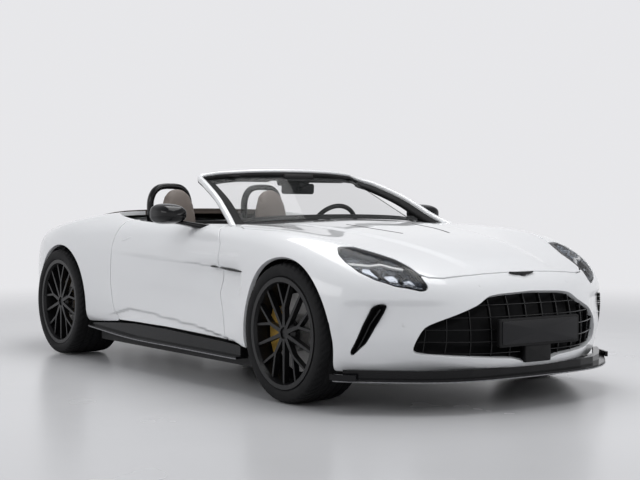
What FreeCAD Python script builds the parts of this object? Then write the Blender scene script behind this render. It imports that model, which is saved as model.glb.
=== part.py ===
import FreeCAD, Part
import math
import os
import Sketcher

# A two-seat open sports car, parked with its soft roof folded away.
# Millimetres, +X towards the nose, +Y to the car's left, +Z up, ground at zero.

V = FreeCAD.Vector
doc = FreeCAD.newDocument("Roadster")
sheet = doc.addObject("Spreadsheet::Sheet", "Sizes")

SIZES = {
    "wheelbase": 2705, "front_overhang": 848, "rear_overhang": 942, "body_width": 1970,
    "front_track": 1646, "rear_track": 1634,
    "front_tyre_width": 275, "rear_tyre_width": 325, "tyre_diameter": 726, "tyre_squash": 7,
    "rim_seat_radius": 267, "rim_flange_radius": 284, "front_rim_width": 254, "rear_rim_width": 292,
    "arch_radius": 386, "liner_wall": 8,
    "disc_radius": 200, "disc_thickness": 34,
    "skin_depth": 25, "lamp_depth": 60, "panel_gap": 5, "seat_clearance": 0.3, "fixed_seam": 0.8,
    "door_inner_half": 735, "sill_height": 262,
    "floor_height": 132, "floor_thickness": 30, "tunnel_half": 140, "tunnel_height": 440,
    "screen_thickness": 6,
    "seat_half_track": 370, "seat_width": 450,
    "steering_wheel_radius": 180, "steering_wheel_rim": 15,
    "engine_length": 620, "engine_width": 640, "engine_height": 520,
    "exhaust_radius": 38,
}
for number, (name, size) in enumerate(SIZES.items(), start=1):
    sheet.set("A%d" % number, name)
    sheet.set("B%d" % number, str(size))
    sheet.setAlias("B%d" % number, name)
doc.recompute()


class Size:
    """A length together with the sheet expression that gives it."""

    def __init__(self, value, text):
        self.value = float(value)
        self.text = text

    def joined(self, other, sign, value, flip=False):
        left, right = (other, self.text) if flip else (self.text, other)
        return Size(value, "(%s %s %s)" % (left, sign, right))

    def __add__(self, other):
        o = as_size(other)
        return self.joined(o.text, "+", self.value + o.value)

    __radd__ = __add__

    def __sub__(self, other):
        o = as_size(other)
        return self.joined(o.text, "-", self.value - o.value)

    def __rsub__(self, other):
        o = as_size(other)
        return self.joined(o.text, "-", o.value - self.value, flip=True)

    def __mul__(self, other):
        o = as_size(other)
        return self.joined(o.text, "*", self.value * o.value)

    __rmul__ = __mul__

    def __truediv__(self, other):
        o = as_size(other)
        return self.joined(o.text, "/", self.value / o.value)

    def __neg__(self):
        return Size(-self.value, "(0 - %s)" % self.text)


def as_size(number):
    if isinstance(number, Size):
        return number
    return Size(number, "(%.6f)" % number if number < 0 else "%.6f" % number)


def size(name):
    return Size(getattr(sheet, name), "Sizes." + name)


WHEELBASE = size("wheelbase")
FRONT_AXLE = (size("wheelbase") + size("rear_overhang") - size("front_overhang")) / 2
REAR_AXLE = FRONT_AXLE - WHEELBASE
AXLE_HEIGHT = size("tyre_diameter") / 2 - size("tyre_squash")
GAP = size("panel_gap").value
FIT = size("seat_clearance").value
SEAM = size("fixed_seam").value
DEPTH = size("skin_depth").value
ARCH = size("arch_radius").value
INNER = size("door_inner_half")
SILL = size("sill_height")

# The body is drawn from the front axle at these sizes and stretched to the sheet's.
DRAWN_WHEELBASE, DRAWN_FRONT, DRAWN_REAR, DRAWN_WIDTH = 2705, 848, 942, 1970


def along(x):
    """Length position of a point drawn x ahead of the front axle."""
    if x > 0:
        return FRONT_AXLE + x * size("front_overhang") / DRAWN_FRONT
    if x >= -DRAWN_WHEELBASE:
        return FRONT_AXLE + x * WHEELBASE / DRAWN_WHEELBASE
    return REAR_AXLE + (x + DRAWN_WHEELBASE) * size("rear_overhang") / DRAWN_REAR


def across(y):
    """Side position of a point drawn y to the left."""
    return y * size("body_width") / DRAWN_WIDTH


def at(x, y, z):
    return V(along(x).value, across(y).value, z)


# Half of the body's skin as a net of poles: a station per line from the tail's centre round the
# right side to the nose's centre, each with rows from the underside's lip up to the cockpit's rim.
SKIN = [
    # tail, at the centre
    [(-3480, 0, 300), (-3595, 0, 320), (-3634, 0, 420), (-3624, 0, 555), (-3614, 0, 670),
     (-3643, 0, 780), (-3672, 0, 872), (-3594, 0, 925), (-3380, 0, 938), (-3050, 0, 953),
     (-2700, 0, 968), (-2400, 0, 980)],
    # tail, beside the plate
    [(-3470, 330, 300), (-3580, 340, 320), (-3614, 350, 420), (-3604, 350, 550), (-3594, 350, 660),
     (-3618, 350, 765), (-3638, 345, 850), (-3575, 335, 900), (-3368, 320, 918), (-3040, 300, 940),
     (-2690, 280, 960), (-2400, 260, 976)],
    # tail's corner
    [(-3380, 684, 300), (-3478, 718, 320), (-3506, 749, 420), (-3512, 773, 545), (-3502, 776, 650),
     (-3502, 760, 735), (-3492, 726, 798), (-3433, 684, 842), (-3284, 625, 880), (-3000, 572, 914),
     (-2680, 520, 948), (-2395, 480, 970)],
    # rear quarter
    [(-3120, 944, 290), (-3140, 966, 310), (-3150, 954, 420), (-3150, 949, 555), (-3145, 941, 665),
     (-3145, 932, 752), (-3135, 893, 820), (-3095, 829, 868), (-2993, 752, 900), (-2780, 696, 928),
     (-2560, 662, 950), (-2380, 640, 964)],
    # rear haunch, over the axle
    [(-2705, 935, 250), (-2705, 987, 270), (-2705, 994, 400), (-2705, 997, 550), (-2705, 989, 670),
     (-2705, 977, 770), (-2700, 932, 848), (-2680, 863, 900), (-2630, 802, 930), (-2540, 765, 948),
     (-2430, 745, 957), (-2330, 730, 962)],
    # behind the door
    [(-2100, 854, 230), (-2100, 917, 250), (-2100, 931, 350), (-2100, 933, 480), (-2100, 931, 600),
     (-2100, 927, 720), (-2090, 899, 820), (-2080, 859, 880), (-2060, 825, 905), (-2040, 800, 912),
     (-2020, 785, 914), (-2000, 770, 910)],
    # middle of the door
    [(-1400, 860, 220), (-1400, 928, 240), (-1400, 919, 330), (-1400, 895, 440), (-1400, 900, 560),
     (-1400, 910, 680), (-1400, 894, 790), (-1400, 861, 850), (-1400, 829, 882), (-1400, 805, 892),
     (-1400, 785, 893), (-1400, 765, 888)],
    # front of the door
    [(-640, 851, 210), (-640, 905, 230), (-640, 885, 320), (-640, 867, 430), (-640, 866, 550),
     (-640, 888, 670), (-650, 896, 780), (-680, 868, 850), (-760, 832, 885), (-860, 795, 900),
     (-960, 770, 902), (-1050, 745, 897)],
    # front wing, over the axle
    [(0, 943, 220), (0, 1003, 240), (0, 1024, 350), (0, 1036, 470), (0, 1015, 600), (0, 996, 720),
     (0, 961, 810), (-20, 880, 862), (-110, 808, 880), (-320, 750, 890), (-620, 710, 900),
     (-900, 690, 898)],
    # ahead of the front wheel
    [(400, 922, 195), (413, 944, 210), (417, 965, 300), (417, 991, 420), (415, 979, 530),
     (399, 953, 635), (370, 878, 720), (320, 778, 776), (180, 691, 822), (-120, 620, 862),
     (-500, 580, 893), (-840, 570, 907)],
    # nose's corner
    [(617, 585, 190), (626, 578, 205), (639, 598, 270), (650, 625, 370), (663, 643, 480),
     (663, 647, 570), (625, 620, 650), (530, 566, 715), (330, 492, 780), (0, 440, 845),
     (-420, 400, 893), (-790, 380, 917)],
    # nose, beside the centre
    [(745, 316, 190), (810, 343, 203), (842, 369, 265), (848, 370, 365), (830, 352, 480),
     (800, 335, 570), (746, 318, 640), (650, 290, 695), (430, 251, 765), (90, 220, 840),
     (-350, 200, 893), (-740, 190, 922)],
    # nose, at the centre
    [(770, 0, 190), (833, 0, 203), (856, 0, 265), (861, 0, 365), (851, 0, 480), (828, 0, 575),
     (778, 0, 645), (680, 0, 700), (460, 0, 768), (120, 0, 842), (-320, 0, 895), (-720, 0, 926)],
]
LAST = len(SKIN) - 1


def pole(station, row):
    """Pole of the whole loop, which runs on past the nose along the mirrored left side."""
    turn = station % (2 * LAST)
    side = -1 if turn <= LAST else 1
    x, y, z = SKIN[turn if turn <= LAST else 2 * LAST - turn][row]
    return at(x, side * y, z)


def pole_normal(station, row):
    """Outward direction of the net at a pole, from its neighbours."""
    top = len(SKIN[0]) - 1
    round_way = pole(station + 1, row) - pole(station - 1, row)
    up_way = pole(station, min(row + 1, top)) - pole(station, max(row - 1, 0))
    return round_way.cross(up_way).normalize()


def patch_rows(first, last, depth):
    """Poles of the skin between two stations, moved inwards by depth and clamped at both ends."""
    rows = []
    for station in range(first - 1, last + 2):
        rows.append([pole(station, row) - pole_normal(station, row) * depth
                     for row in range(len(SKIN[0]))])
    for a, b, c in ((0, 1, 2), (-1, -2, -3)):
        ends = [(p + q * 4 + r) * (1 / 6) for p, q, r in zip(rows[a], rows[b], rows[c])]
        seconds = [(q * 2 + r) * (1 / 3) for q, r in zip(rows[b], rows[c])]
        rows[a], rows[b] = ends, seconds
    return rows


def knots(count, degree):
    inner = count - degree - 1
    return [degree + 1] + [1] * inner + [degree + 1], [float(i) for i in range(inner + 2)]


def spline_face(rows, degree_u, degree_v):
    many_u, at_u = knots(len(rows), degree_u)
    many_v, at_v = knots(len(rows[0]), degree_v)
    surface = Part.BSplineSurface()
    surface.buildFromPolesMultsKnots(rows, many_u, many_v, at_u, at_v, False, False,
                                     degree_u, degree_v)
    return surface.toShape()


def block_between(outer, inner):
    """Solid between two patches with the same number of poles."""
    faces = [spline_face(outer, 3, 3), spline_face(inner, 3, 3)]
    faces.append(spline_face([outer[0], inner[0]], 1, 3))
    faces.append(spline_face([outer[-1], inner[-1]], 1, 3))
    for row in (0, -1):
        edge = [[o[row], i[row]] for o, i in zip(outer, inner)]
        faces.append(spline_face(edge, 3, 1))
    shell = Part.makeShell(faces)
    shell.sewShape()
    solid = Part.makeSolid(Part.Shell(shell.Faces))
    if solid.Volume < 0:
        solid.reverse()
    return solid


def skin_block(first, last, depth, lift=0):
    return block_between(patch_rows(first, last, -lift), patch_rows(first, last, depth))


def plan_prism(points, low, high, grow=0):
    """Upright prism over a plan outline of drawn (x, y) points, grown outwards by grow."""
    return prism(grown(points, grow), V(0, 0, 1), high - low, lambda x, y: at(x, y, low))


def side_prism(points, near, far, grow=0):
    """Prism across the car over a side outline of drawn (x, z) points, from near to far."""
    return prism(grown(points, grow), V(0, 1, 0), far - near,
                 lambda x, z: V(along(x).value, near, z))


def front_prism(points, rear, front, grow=0):
    """Prism along the car over a front outline of drawn (y, z) points."""
    start, end = along(rear).value, along(front).value
    return prism(grown(points, grow), V(1, 0, 0), end - start,
                 lambda y, z: V(start, across(y).value, z))


def prism(points, direction, length, place):
    corners = [place(a, b) for a, b in points]
    wire = Part.makePolygon(corners + [corners[0]])
    return Part.Face(wire).extrude(direction * length)


def grown(points, distance):
    """Outline with every side moved outwards by a distance."""
    if not distance:
        return points
    count = len(points)
    area = sum(points[i - 1][0] * points[i][1] - points[i][0] * points[i - 1][1]
               for i in range(count))
    turn = 1 if area > 0 else -1
    moved = []
    for i in range(count):
        (ax, ay), (bx, by), (cx, cy) = points[i - 1], points[i], points[(i + 1) % count]
        n1 = normal_2d(bx - ax, by - ay, turn)
        n2 = normal_2d(cx - bx, cy - by, turn)
        share = 1 + n1[0] * n2[0] + n1[1] * n2[1]
        moved.append((bx + (n1[0] + n2[0]) * distance / share,
                      by + (n1[1] + n2[1]) * distance / share))
    return moved


def normal_2d(dx, dy, turn):
    long = math.hypot(dx, dy)
    return turn * dy / long, -turn * dx / long


def mirrored(points):
    """Half outline with y from zero outwards, closed by its mirror image."""
    return points + [(x, -y) for x, y in reversed(points) if abs(y) > 1e-9]


def mirrored_front(points):
    """Half outline of (y, z) points with y from zero outwards, closed by its mirror image."""
    return points + [(-y, z) for y, z in reversed(points) if abs(y) > 1e-9]


def other_side(shape):
    return shape.mirror(V(0, 0, 0), V(0, 1, 0))


def pair(shape):
    return Part.makeCompound([shape, other_side(shape)])


def solids_only(shape, least=500):
    """The shape's solids above a small volume, as one shape."""
    kept = [s for s in shape.Solids if s.Volume > least]
    return kept[0] if len(kept) == 1 else Part.makeCompound(kept)


def coded(label, shape, least=500):
    """Sub-part whose free-form shape is worked out here from the sheet's sizes."""
    item = doc.addObject("Part::Feature", label)
    item.Shape = solids_only(shape, least)
    item.Label = label
    item.Placement = FreeCAD.Placement()
    NODES.append(item)
    return item


NODES = []


def bind(item, prop, value):
    number = as_size(value)
    if isinstance(value, Size):
        item.setExpression(prop, number.text)
    else:
        target = item
        names = prop.split(".")
        for name in names[:-1]:
            target = getattr(target, name)
        setattr(target, names[-1], number.value)


def place(item, x=0, y=0, z=0, axis=None, angle=0):
    turn = FreeCAD.Rotation(V(*axis), angle) if axis else FreeCAD.Rotation()
    base = [as_size(c) for c in (x, y, z)]
    item.Placement = FreeCAD.Placement(V(*[c.value for c in base]), turn)
    for letter, c in zip("xyz", base):
        item.setExpression("Placement.Base." + letter, c.text)
    return item


def named(item, label):
    item.Label = label
    NODES.append(item)
    return item


def box(name, x0, x1, y0, y1, z0, z1):
    item = doc.addObject("Part::Box", name)
    bind(item, "Length", as_size(x1) - x0)
    bind(item, "Width", as_size(y1) - y0)
    bind(item, "Height", as_size(z1) - z0)
    return place(item, x0, y0, z0)


def rod(name, start, end, radius):
    """Round bar between two points."""
    item = doc.addObject("Part::Cylinder", name)
    a, b = [V(*[as_size(c).value for c in p]) for p in (start, end)]
    way = b - a
    item.Height = way.Length
    bind(item, "Radius", radius)
    item.Placement = FreeCAD.Placement(a, FreeCAD.Rotation(V(0, 0, 1), way))
    return item


def joined(name, items):
    item = doc.addObject("Part::MultiFuse", name)
    item.Shapes = items
    return item


def group(name, items):
    item = doc.addObject("Part::Compound", name)
    item.Links = items
    return item


def less(name, base, tool):
    item = doc.addObject("Part::Cut", name)
    item.Base = base
    item.Tool = tool
    return item


def shared(name, first, second):
    """What two pieces have in common."""
    common = doc.addObject("Part::Common", name)
    common.Base = first
    common.Tool = second
    return common


def flipped(name, item):
    twin = doc.addObject("Part::Mirroring", name)
    twin.Source = item
    twin.Normal = V(0, 1, 0)
    return twin


def body(name):
    return doc.addObject("PartDesign::Body", name)


def outline(owner, plane, points, name="Outline", offset=0):
    """Closed sketch of straight sides, each corner held by two distances from the origin."""
    drawing = owner.newObject("Sketcher::SketchObject", owner.Name + name)
    base = [f for f in owner.Origin.OriginFeatures if f.Role == plane][0]
    drawing.AttachmentSupport = (base, [""])
    drawing.MapMode = "FlatFace"
    if offset:
        drawing.AttachmentOffset = FreeCAD.Placement(V(0, 0, as_size(offset).value),
                                                     FreeCAD.Rotation())
        if isinstance(offset, Size):
            drawing.setExpression("AttachmentOffset.Base.z", offset.text)
    count = len(points)
    spots = [(as_size(u), as_size(v)) for u, v in points]
    for i in range(count):
        a, b = spots[i], spots[(i + 1) % count]
        line = Part.LineSegment(V(a[0].value, a[1].value, 0), V(b[0].value, b[1].value, 0))
        drawing.addGeometry(line, False)
    ties = [Sketcher.Constraint("Coincident", i, 2, (i + 1) % count, 1) for i in range(count)]
    bound = []
    for i, (u, v) in enumerate(spots):
        for kind, spot, axis in (("DistanceX", u, -2), ("DistanceY", v, -1)):
            if abs(spot.value) < 1e-9:
                ties.append(Sketcher.Constraint("PointOnObject", i, 1, axis))
            elif spot.value > 0:
                bound.append((len(ties), spot))
                ties.append(Sketcher.Constraint(kind, -1, 1, i, 1, spot.value))
            else:
                bound.append((len(ties), -spot))
                ties.append(Sketcher.Constraint(kind, i, 1, -1, 1, -spot.value))
    drawing.addConstraint(ties)
    for index, spot in bound:
        if "Sizes" in spot.text:
            drawing.setExpression("Constraints[%d]" % index, spot.text)
    return drawing


def pad(owner, drawing, length, name="Pad"):
    feature = owner.newObject("PartDesign::Pad", owner.Name + name)
    feature.Profile = drawing
    bind(feature, "Length", length)
    return feature


def spun(owner, drawing, name="Turned", angle=360, back=False):
    feature = owner.newObject("PartDesign::Revolution", owner.Name + name)
    feature.Profile = drawing
    feature.ReferenceAxis = (drawing, ["V_Axis"])
    feature.Angle = angle
    feature.Reversed = back
    return feature


def padded_outline(name, plane, points, offset, length):
    item = body(name)
    pad(item, outline(item, plane, points, offset=offset), length)
    return item


# Wheels.

def wheel_sizes(front):
    width = size("front_tyre_width" if front else "rear_tyre_width")
    rim = size("front_rim_width" if front else "rear_rim_width")
    return width / 2, rim / 2


def make_tyre(label, front):
    """Low tyre, drawn at the size that it stands on the ground with."""
    half, bead = wheel_sizes(front)
    outer = AXLE_HEIGHT
    seat = size("rim_seat_radius")
    tyre = body(label)
    right = [(seat, bead - 14), (seat + 38, half), (outer - 16, half - 2), (outer, half - 24)]
    left = [(r, -y) for r, y in reversed(right)]
    spun(tyre, outline(tyre, "XY_Plane", right + left))
    return tyre


def polar(reach, angle):
    """Point at a distance from the middle, turned from upright by an angle in degrees."""
    turn = math.radians(angle)
    return reach * math.sin(turn), reach * math.cos(turn)


def make_rim(label, front):
    """Barrel with its flanges, a hub, five forked spokes and five straight ones between them."""
    half, bead = wheel_sizes(front)
    seat = size("rim_seat_radius") - 0.3
    flange = size("rim_flange_radius")
    rim = body(label)
    barrel = [(seat, bead - 0.3), (flange, bead), (flange, bead + 9), (seat - 6, bead + 9),
              (seat - 14, bead - 10), (seat - 24, bead - 70), (seat - 24, 30 - bead),
              (seat - 12, -9 - bead), (flange - 6, -9 - bead), (flange - 6, -bead),
              (seat, 0.3 - bead), (seat, -60), (seat - 12, -50), (seat - 12, 40), (seat, 50)]
    spun(rim, outline(rim, "XY_Plane", barrel, "Barrel"), "BarrelTurned")
    hub = [(0, bead - 58), (72, bead - 58), (72, bead - 30), (58, bead - 14), (0, bead - 14)]
    spun(rim, outline(rim, "XY_Plane", hub, "Hub"), "HubTurned")
    reach = seat - 9
    fork = [(12, 30), (8.5, 128), (16, 150)] + [polar(reach, angle) for angle in (13.6, 10.9)]
    fork += [(0, 148)]
    fork += [(-u, v) for u, v in reversed(fork[:-1])]
    straight = [polar(r, 36 + angle) for r, angle in ((30, 20), (reach, 1.4), (reach, -1.4), (30, -20))]
    pads = []
    for name, points in (("Fork", fork), ("Straight", straight)):
        drawing = outline(rim, "XZ_Plane", points, name, offset=-(bead - 6))
        pads.append(pad(rim, drawing, 30, name + "Pad"))
    pattern = rim.newObject("PartDesign::PolarPattern", label + "Spokes")
    pattern.Originals = pads
    pattern.Axis = ([f for f in rim.Origin.OriginFeatures if f.Role == "Y_Axis"][0], [""])
    pattern.Angle = 360
    pattern.Occurrences = 5
    rim.Tip = pattern
    return rim


def make_disc(label, front):
    """Vented brake disc on its bell."""
    disc = body(label)
    outer = size("disc_radius") if front else size("disc_radius") - 20
    half = size("disc_thickness") / 2
    ring = [(86, -half), (outer, -half), (outer, half), (96, half), (96, 58), (0, 58), (0, 50),
            (86, 50)]
    spun(disc, outline(disc, "XY_Plane", ring))
    return disc


def make_caliper(label, front):
    """Brake caliper: an arched block over the disc's rim, open at the disc."""
    outer = size("disc_radius") + (24 if front else 4)
    inner = size("disc_radius") - (72 if front else 82)
    slot = size("disc_radius") + (6 if front else -14)
    half = size("disc_thickness") / 2
    caliper = body(label)
    section = [(inner, -58), (outer, -58), (outer, 44), (inner, 44), (inner, half + 4),
               (slot, half + 4), (slot, -half - 4), (inner, -half - 4)]
    spun(caliper, outline(caliper, "XY_Plane", section), angle=66)
    return caliper


def make_knuckle(label, side):
    """Front upright: hub carrier, the arms that hold the ball joints and the steering arm. The arm
    points back on both sides, so the right one, which is set turned half round, is drawn ahead."""
    knuckle = body(label)
    hub = [(0, -96), (62, -96), (78, -70), (78, -40), (60, 36), (48, 49.7), (0, 49.7)]
    spun(knuckle, outline(knuckle, "XY_Plane", hub, "Hub"), "HubTurned")
    upright = [(-26, -168), (26, -168), (40, -60), (30, 60), (22, 170), (-22, 170), (-30, 60),
               (-40, -60)]
    drawing = outline(knuckle, "XZ_Plane", upright, "Upright", offset=58.3)
    pad(knuckle, drawing, 35.7, "UprightPad")
    arm = [(-150 * side, -76), (-20 * side, -60), (-20 * side, -20), (-150 * side, -48)]
    drawing = outline(knuckle, "XZ_Plane", arm, "Arm", offset=58.3)
    pad(knuckle, drawing, 31.7, "ArmPad")
    return knuckle


def hub_offset(front):
    """Sideways distance from the wheel's middle out to the disc's middle."""
    half, bead = wheel_sizes(front)
    return bead - 58 - 58


CORNERS = [("front_left", True, 1), ("front_right", True, -1),
           ("rear_left", False, 1), ("rear_right", False, -1)]


def make_corner(name, front, side):
    """One wheel with its tyre, rim and disc. The right side's pieces are turned half round."""
    x = FRONT_AXLE if front else REAR_AXLE
    track = size("front_track" if front else "rear_track")
    y = track / 2 * side
    axis, turn = ((0, 0, 1), 0) if side > 0 else ((0, 0, 1), 180)
    place(named(make_tyre("tyre_" + name, front), "tyre_" + name), x, y, AXLE_HEIGHT, axis, turn)
    place(named(make_rim("rim_" + name, front), "rim_" + name), x, y, AXLE_HEIGHT, axis, turn)
    inside = y + hub_offset(front) * side
    disc = named(make_disc("disc_" + name, front), "disc_" + name)
    place(disc, x, inside, AXLE_HEIGHT, axis, turn)
    if front:
        knuckle = named(make_knuckle("knuckle_" + name, side), "knuckle_" + name)
        place(knuckle, x, inside, AXLE_HEIGHT, axis, turn)
    caliper = make_caliper("caliper_" + name, front)
    # The front calipers sit behind the axle and the rear ones ahead of it.
    spread = FreeCAD.Rotation(V(0, 1, 0), 180 - 33 if front == (side > 0) else -33)
    base = V(x.value, inside.value, AXLE_HEIGHT.value)
    if side > 0:
        caliper.Placement = FreeCAD.Placement(base, spread)
    else:
        half_turn = FreeCAD.Rotation(V(0, 0, 1), 180)
        caliper.Placement = FreeCAD.Placement(base, half_turn.multiply(spread))
    for letter, c in zip("xyz", (x, inside, AXLE_HEIGHT)):
        caliper.setExpression("Placement.Base." + letter, c.text)
    if front:
        named(caliper, "caliper_" + name)
        return None
    return caliper


rear_calipers = [made for made in (make_corner(*corner) for corner in CORNERS) if made]
named(group("rear_calipers_pair", rear_calipers), "rear_calipers")


# Body shell.

front_skin = skin_block(LAST - 6, LAST + 6, DEPTH)
rear_skin = skin_block(-6, 6, DEPTH)

BONNET = mirrored([(717, 0), (712, 150), (697, 299), (682, 390), (668, 460), (637, 528), (600, 560),
                   (538, 568), (449, 585), (348, 633), (240, 690), (140, 735), (31, 771),
                   (-110, 808), (-349, 828), (-560, 829), (-640, 800), (-660, 735), (-650, 400),
                   (-640, 0)])
LAMP = [(225, -771), (250, -688), (348, -632), (449, -584), (538, -569), (617, -563), (672, -553),
        (662, -587), (585, -692), (514, -760), (443, -803), (358, -821), (293, -815)]
DOOR = [(-796, 960), (-796, 877), (-704, 791), (-701, 658), (-712, 525), (-628, 328), (-604, 268),
        (-900, 277), (-1300, 288), (-1700, 290), (-1905, 284), (-1960, 380), (-1995, 520),
        (-1995, 760), (-1975, 960)]
GRILLE = mirrored_front([(0, 580), (200, 572), (280, 562), (342, 522), (447, 480), (527, 449),
                         (593, 417), (622, 345), (627, 305), (610, 287), (450, 273), (155, 255),
                         (90, 236), (0, 234)])
SLOT = [(739, 526), (773, 529), (798, 513), (830, 425), (860, 297), (852, 275), (811, 337),
        (784, 415), (748, 497)]
BOOT = mirrored([(-3560, 0), (-3545, 260), (-3470, 470), (-3380, 540), (-2960, 560), (-2945, 540),
                 (-2935, 0)])
ROOF = mirrored([(-2915, 0), (-2915, 560), (-2860, 610), (-2500, 640), (-2400, 610), (-2380, 0)])


def axle_cylinder(rear, radius, inner, outer):
    """Cylinder about an axle on the car's right, between two distances from its middle."""
    x = (REAR_AXLE if rear else FRONT_AXLE).value
    start = V(x, -across(outer).value, AXLE_HEIGHT.value)
    return Part.makeCylinder(radius, across(outer).value - across(inner).value, start, V(0, 1, 0))


def both(shape):
    return [shape, other_side(shape)]


bonnet_hole = plan_prism(BONNET, 560, 1100, GAP / 2)
lamp_holes = both(plan_prism(LAMP, 560, 1000, FIT / 2))
door_holes = both(side_prism(DOOR, -1100, -600, GAP))
arch_holes = both(axle_cylinder(False, ARCH, 480, 1100)) + both(axle_cylinder(True, ARCH, 480, 1100))


def cut_all(shape, tools):
    for tool in tools:
        shape = shape.cut(tool)
    return shape


def region(x0, x1, z0, z1, half=1100):
    start = along(x0).value
    return Part.makeBox(along(x1).value - start, 2 * half, z1 - z0, V(start, -half, z0))


coded("bonnet", front_skin.common(plan_prism(BONNET, 560, 1100, -GAP / 2)))
lamp_block = skin_block(LAST - 4, LAST - 1, size("lamp_depth").value)
coded("headlamps", pair(lamp_block.common(plan_prism(LAMP, 560, 1000, -FIT / 2))))

nose = front_skin.common(region(396 + SEAM, 900, 100, 1000))
nose = cut_all(nose, [bonnet_hole] + lamp_holes + arch_holes[:2])
nose = nose.cut(front_prism(GRILLE, 420, 900))
coded("front_bumper", cut_all(nose, both(front_prism(SLOT, 398, 720))))

COWL = mirrored([(-650, 0), (-660, 400), (-672, 700), (-1060, 700), (-1060, 0)])
SKIRT_TOP = [(-2330, 100), (-2330, 250), (-2290, 250), (-1900, 276), (-1700, 285), (-1300, 283),
             (-900, 272), (-620, 266), (-455, 257), (-380, 245), (-380, 100)]
WING = [(396, 150), (396, 1000), (-796, 1000)] + DOOR[1:7] + [(-604, 150)]
wings = front_skin.common(side_prism(WING, -1100, 1100))
wings = wings.cut(plan_prism(COWL, 600, 1000, SEAM)).cut(side_prism(SKIRT_TOP, -1100, 1100))
# The lip under the wing is cut back where the steered tyre sweeps past it.
sweep = both(side_prism([(300, 150), (396, 150), (396, 262), (300, 262)], -856, -560))
wings = cut_all(wings, sweep)
coded("front_wings", cut_all(wings, [bonnet_hole] + lamp_holes + door_holes + arch_holes[:2]))
coded("cowl", front_skin.common(plan_prism(COWL, 600, 1000)))

TAIL_SPLIT = [(-3100, 520), (-3200, 560), (-3330, 590), (-3700, 590), (-3700, 200), (-3050, 200)]
LAMP_BAND = mirrored_front([(0, 792), (400, 790), (640, 778), (760, 752), (905, 700), (905, 686),
                            (770, 735), (640, 752), (400, 765)])
rear_zone = rear_skin.common(region(-3700, -1900, 200, 1100))
tail = rear_zone.common(side_prism(TAIL_SPLIT, -1100, 1100))
coded("rear_bumper", cut_all(tail, arch_holes[2:]))
upper = rear_zone.cut(side_prism(TAIL_SPLIT, -1100, 1100, SEAM))
upper = cut_all(upper, [plan_prism(BOOT, 700, 1100, GAP / 2), plan_prism(ROOF, 800, 1100, FIT)])
upper = upper.cut(side_prism(SKIRT_TOP, -1100, 1100))
upper = upper.cut(side_prism([(-1800, 100), (-1800, 1100), (-1975, 1100)] + DOOR[:6:-1][1:5]
                             + [(-1900, 100)], -1100, 1100, GAP))
band = front_prism(LAMP_BAND, -3700, -3250)
coded("rear_body", cut_all(upper.cut(band), arch_holes[2:]))
coded("tail_lamps", rear_zone.common(front_prism(LAMP_BAND, -3700, -3250, -FIT)))
coded("boot_lid", rear_zone.common(plan_prism(BOOT, 700, 1100, -GAP / 2)))
roof_skin = skin_block(-5, 5, DEPTH, 10)
coded("roof_cover", roof_skin.common(plan_prism(ROOF, 800, 1100)))


def door_block():
    """The right door's volume, from the skin in to an inner wall."""
    outer = patch_rows(4, 8, 0)
    top = len(outer[0]) - 1
    inner = []
    for poles in outer:
        wall = []
        for row, p in enumerate(poles):
            z = poles[0].z + (poles[top].z - poles[0].z) * row / top
            wall.append(V(p.x, max(40 - INNER.value, poles[top].y + 30), z))
        inner.append(wall)
    return block_between(outer, inner)


def make_door():
    door = door_block().common(side_prism(DOOR, -1100, -INNER.value))
    low = 310
    card = side_prism([(-820, low), (-1850, low), (-1850, 640), (-820, 640)],
                      -INNER.value - 40, -600)
    return door.cut(card)


right_door = make_door()
coded("door_right", right_door)
coded("door_left", other_side(right_door))


def oval(x, y, z, half_y, half_z):
    """Upright ring of eight points about a centre, squared at its corners."""
    ring = []
    for k in range(8):
        a = math.radians(22.5 + 45 * k)
        ring.append(at(x, y + half_y * math.cos(a) * 1.05, z + half_z * math.sin(a) * 1.05))
    return Part.makePolygon(ring + [ring[0]])


def make_mirror():
    """Door mirror: a bulged shell on a flat arm from the door's shoulder."""
    sections = [(-1062, 955, 950, 38, 14), (-1088, 960, 953, 72, 42), (-1145, 963, 955, 86, 56),
                (-1205, 963, 956, 88, 60), (-1238, 963, 956, 82, 55)]
    shell = Part.makeLoft([oval(*s) for s in sections], True, False)
    arm_foot = [at(-960, 806, 862), at(-1075, 806, 862), at(-1075, 806, 898), at(-960, 806, 898)]
    arm_head = [at(-1110, 930, 900), at(-1180, 930, 900), at(-1180, 930, 914), at(-1110, 930, 914)]
    arm = Part.makeLoft([Part.makePolygon(w + [w[0]]) for w in (arm_foot, arm_head)], True, True)
    return shell.fuse(arm)


left_mirror = make_mirror().cut(other_side(right_door))
coded("mirror_left", left_mirror)
coded("mirror_right", other_side(left_mirror))


# Windscreen.

SCREEN = [(-735, 0, 930), (-748, 300, 926), (-790, 520, 916), (-880, 668, 900)]
HEADER = [(-1262, 0, 1199), (-1282, 250, 1196), (-1330, 450, 1186), (-1420, 585, 1166)]


def screen_curve(points):
    """Smooth line over the car through a half outline and its mirror image."""
    whole = [at(x, -y, z) for x, y, z in reversed(points[1:])]
    whole += [at(x, y, z) for x, y, z in points]
    curve = Part.BSplineCurve()
    curve.interpolate(whole)
    return curve


def make_screen():
    """Curved windscreen between its base and its top rail."""
    base, top = screen_curve(SCREEN), screen_curve(HEADER)
    face = Part.makeRuledSurface(base.toShape(), top.toShape())
    return face.extrude(V(-1, 0, -0.9).normalize() * -size("screen_thickness").value)


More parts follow.
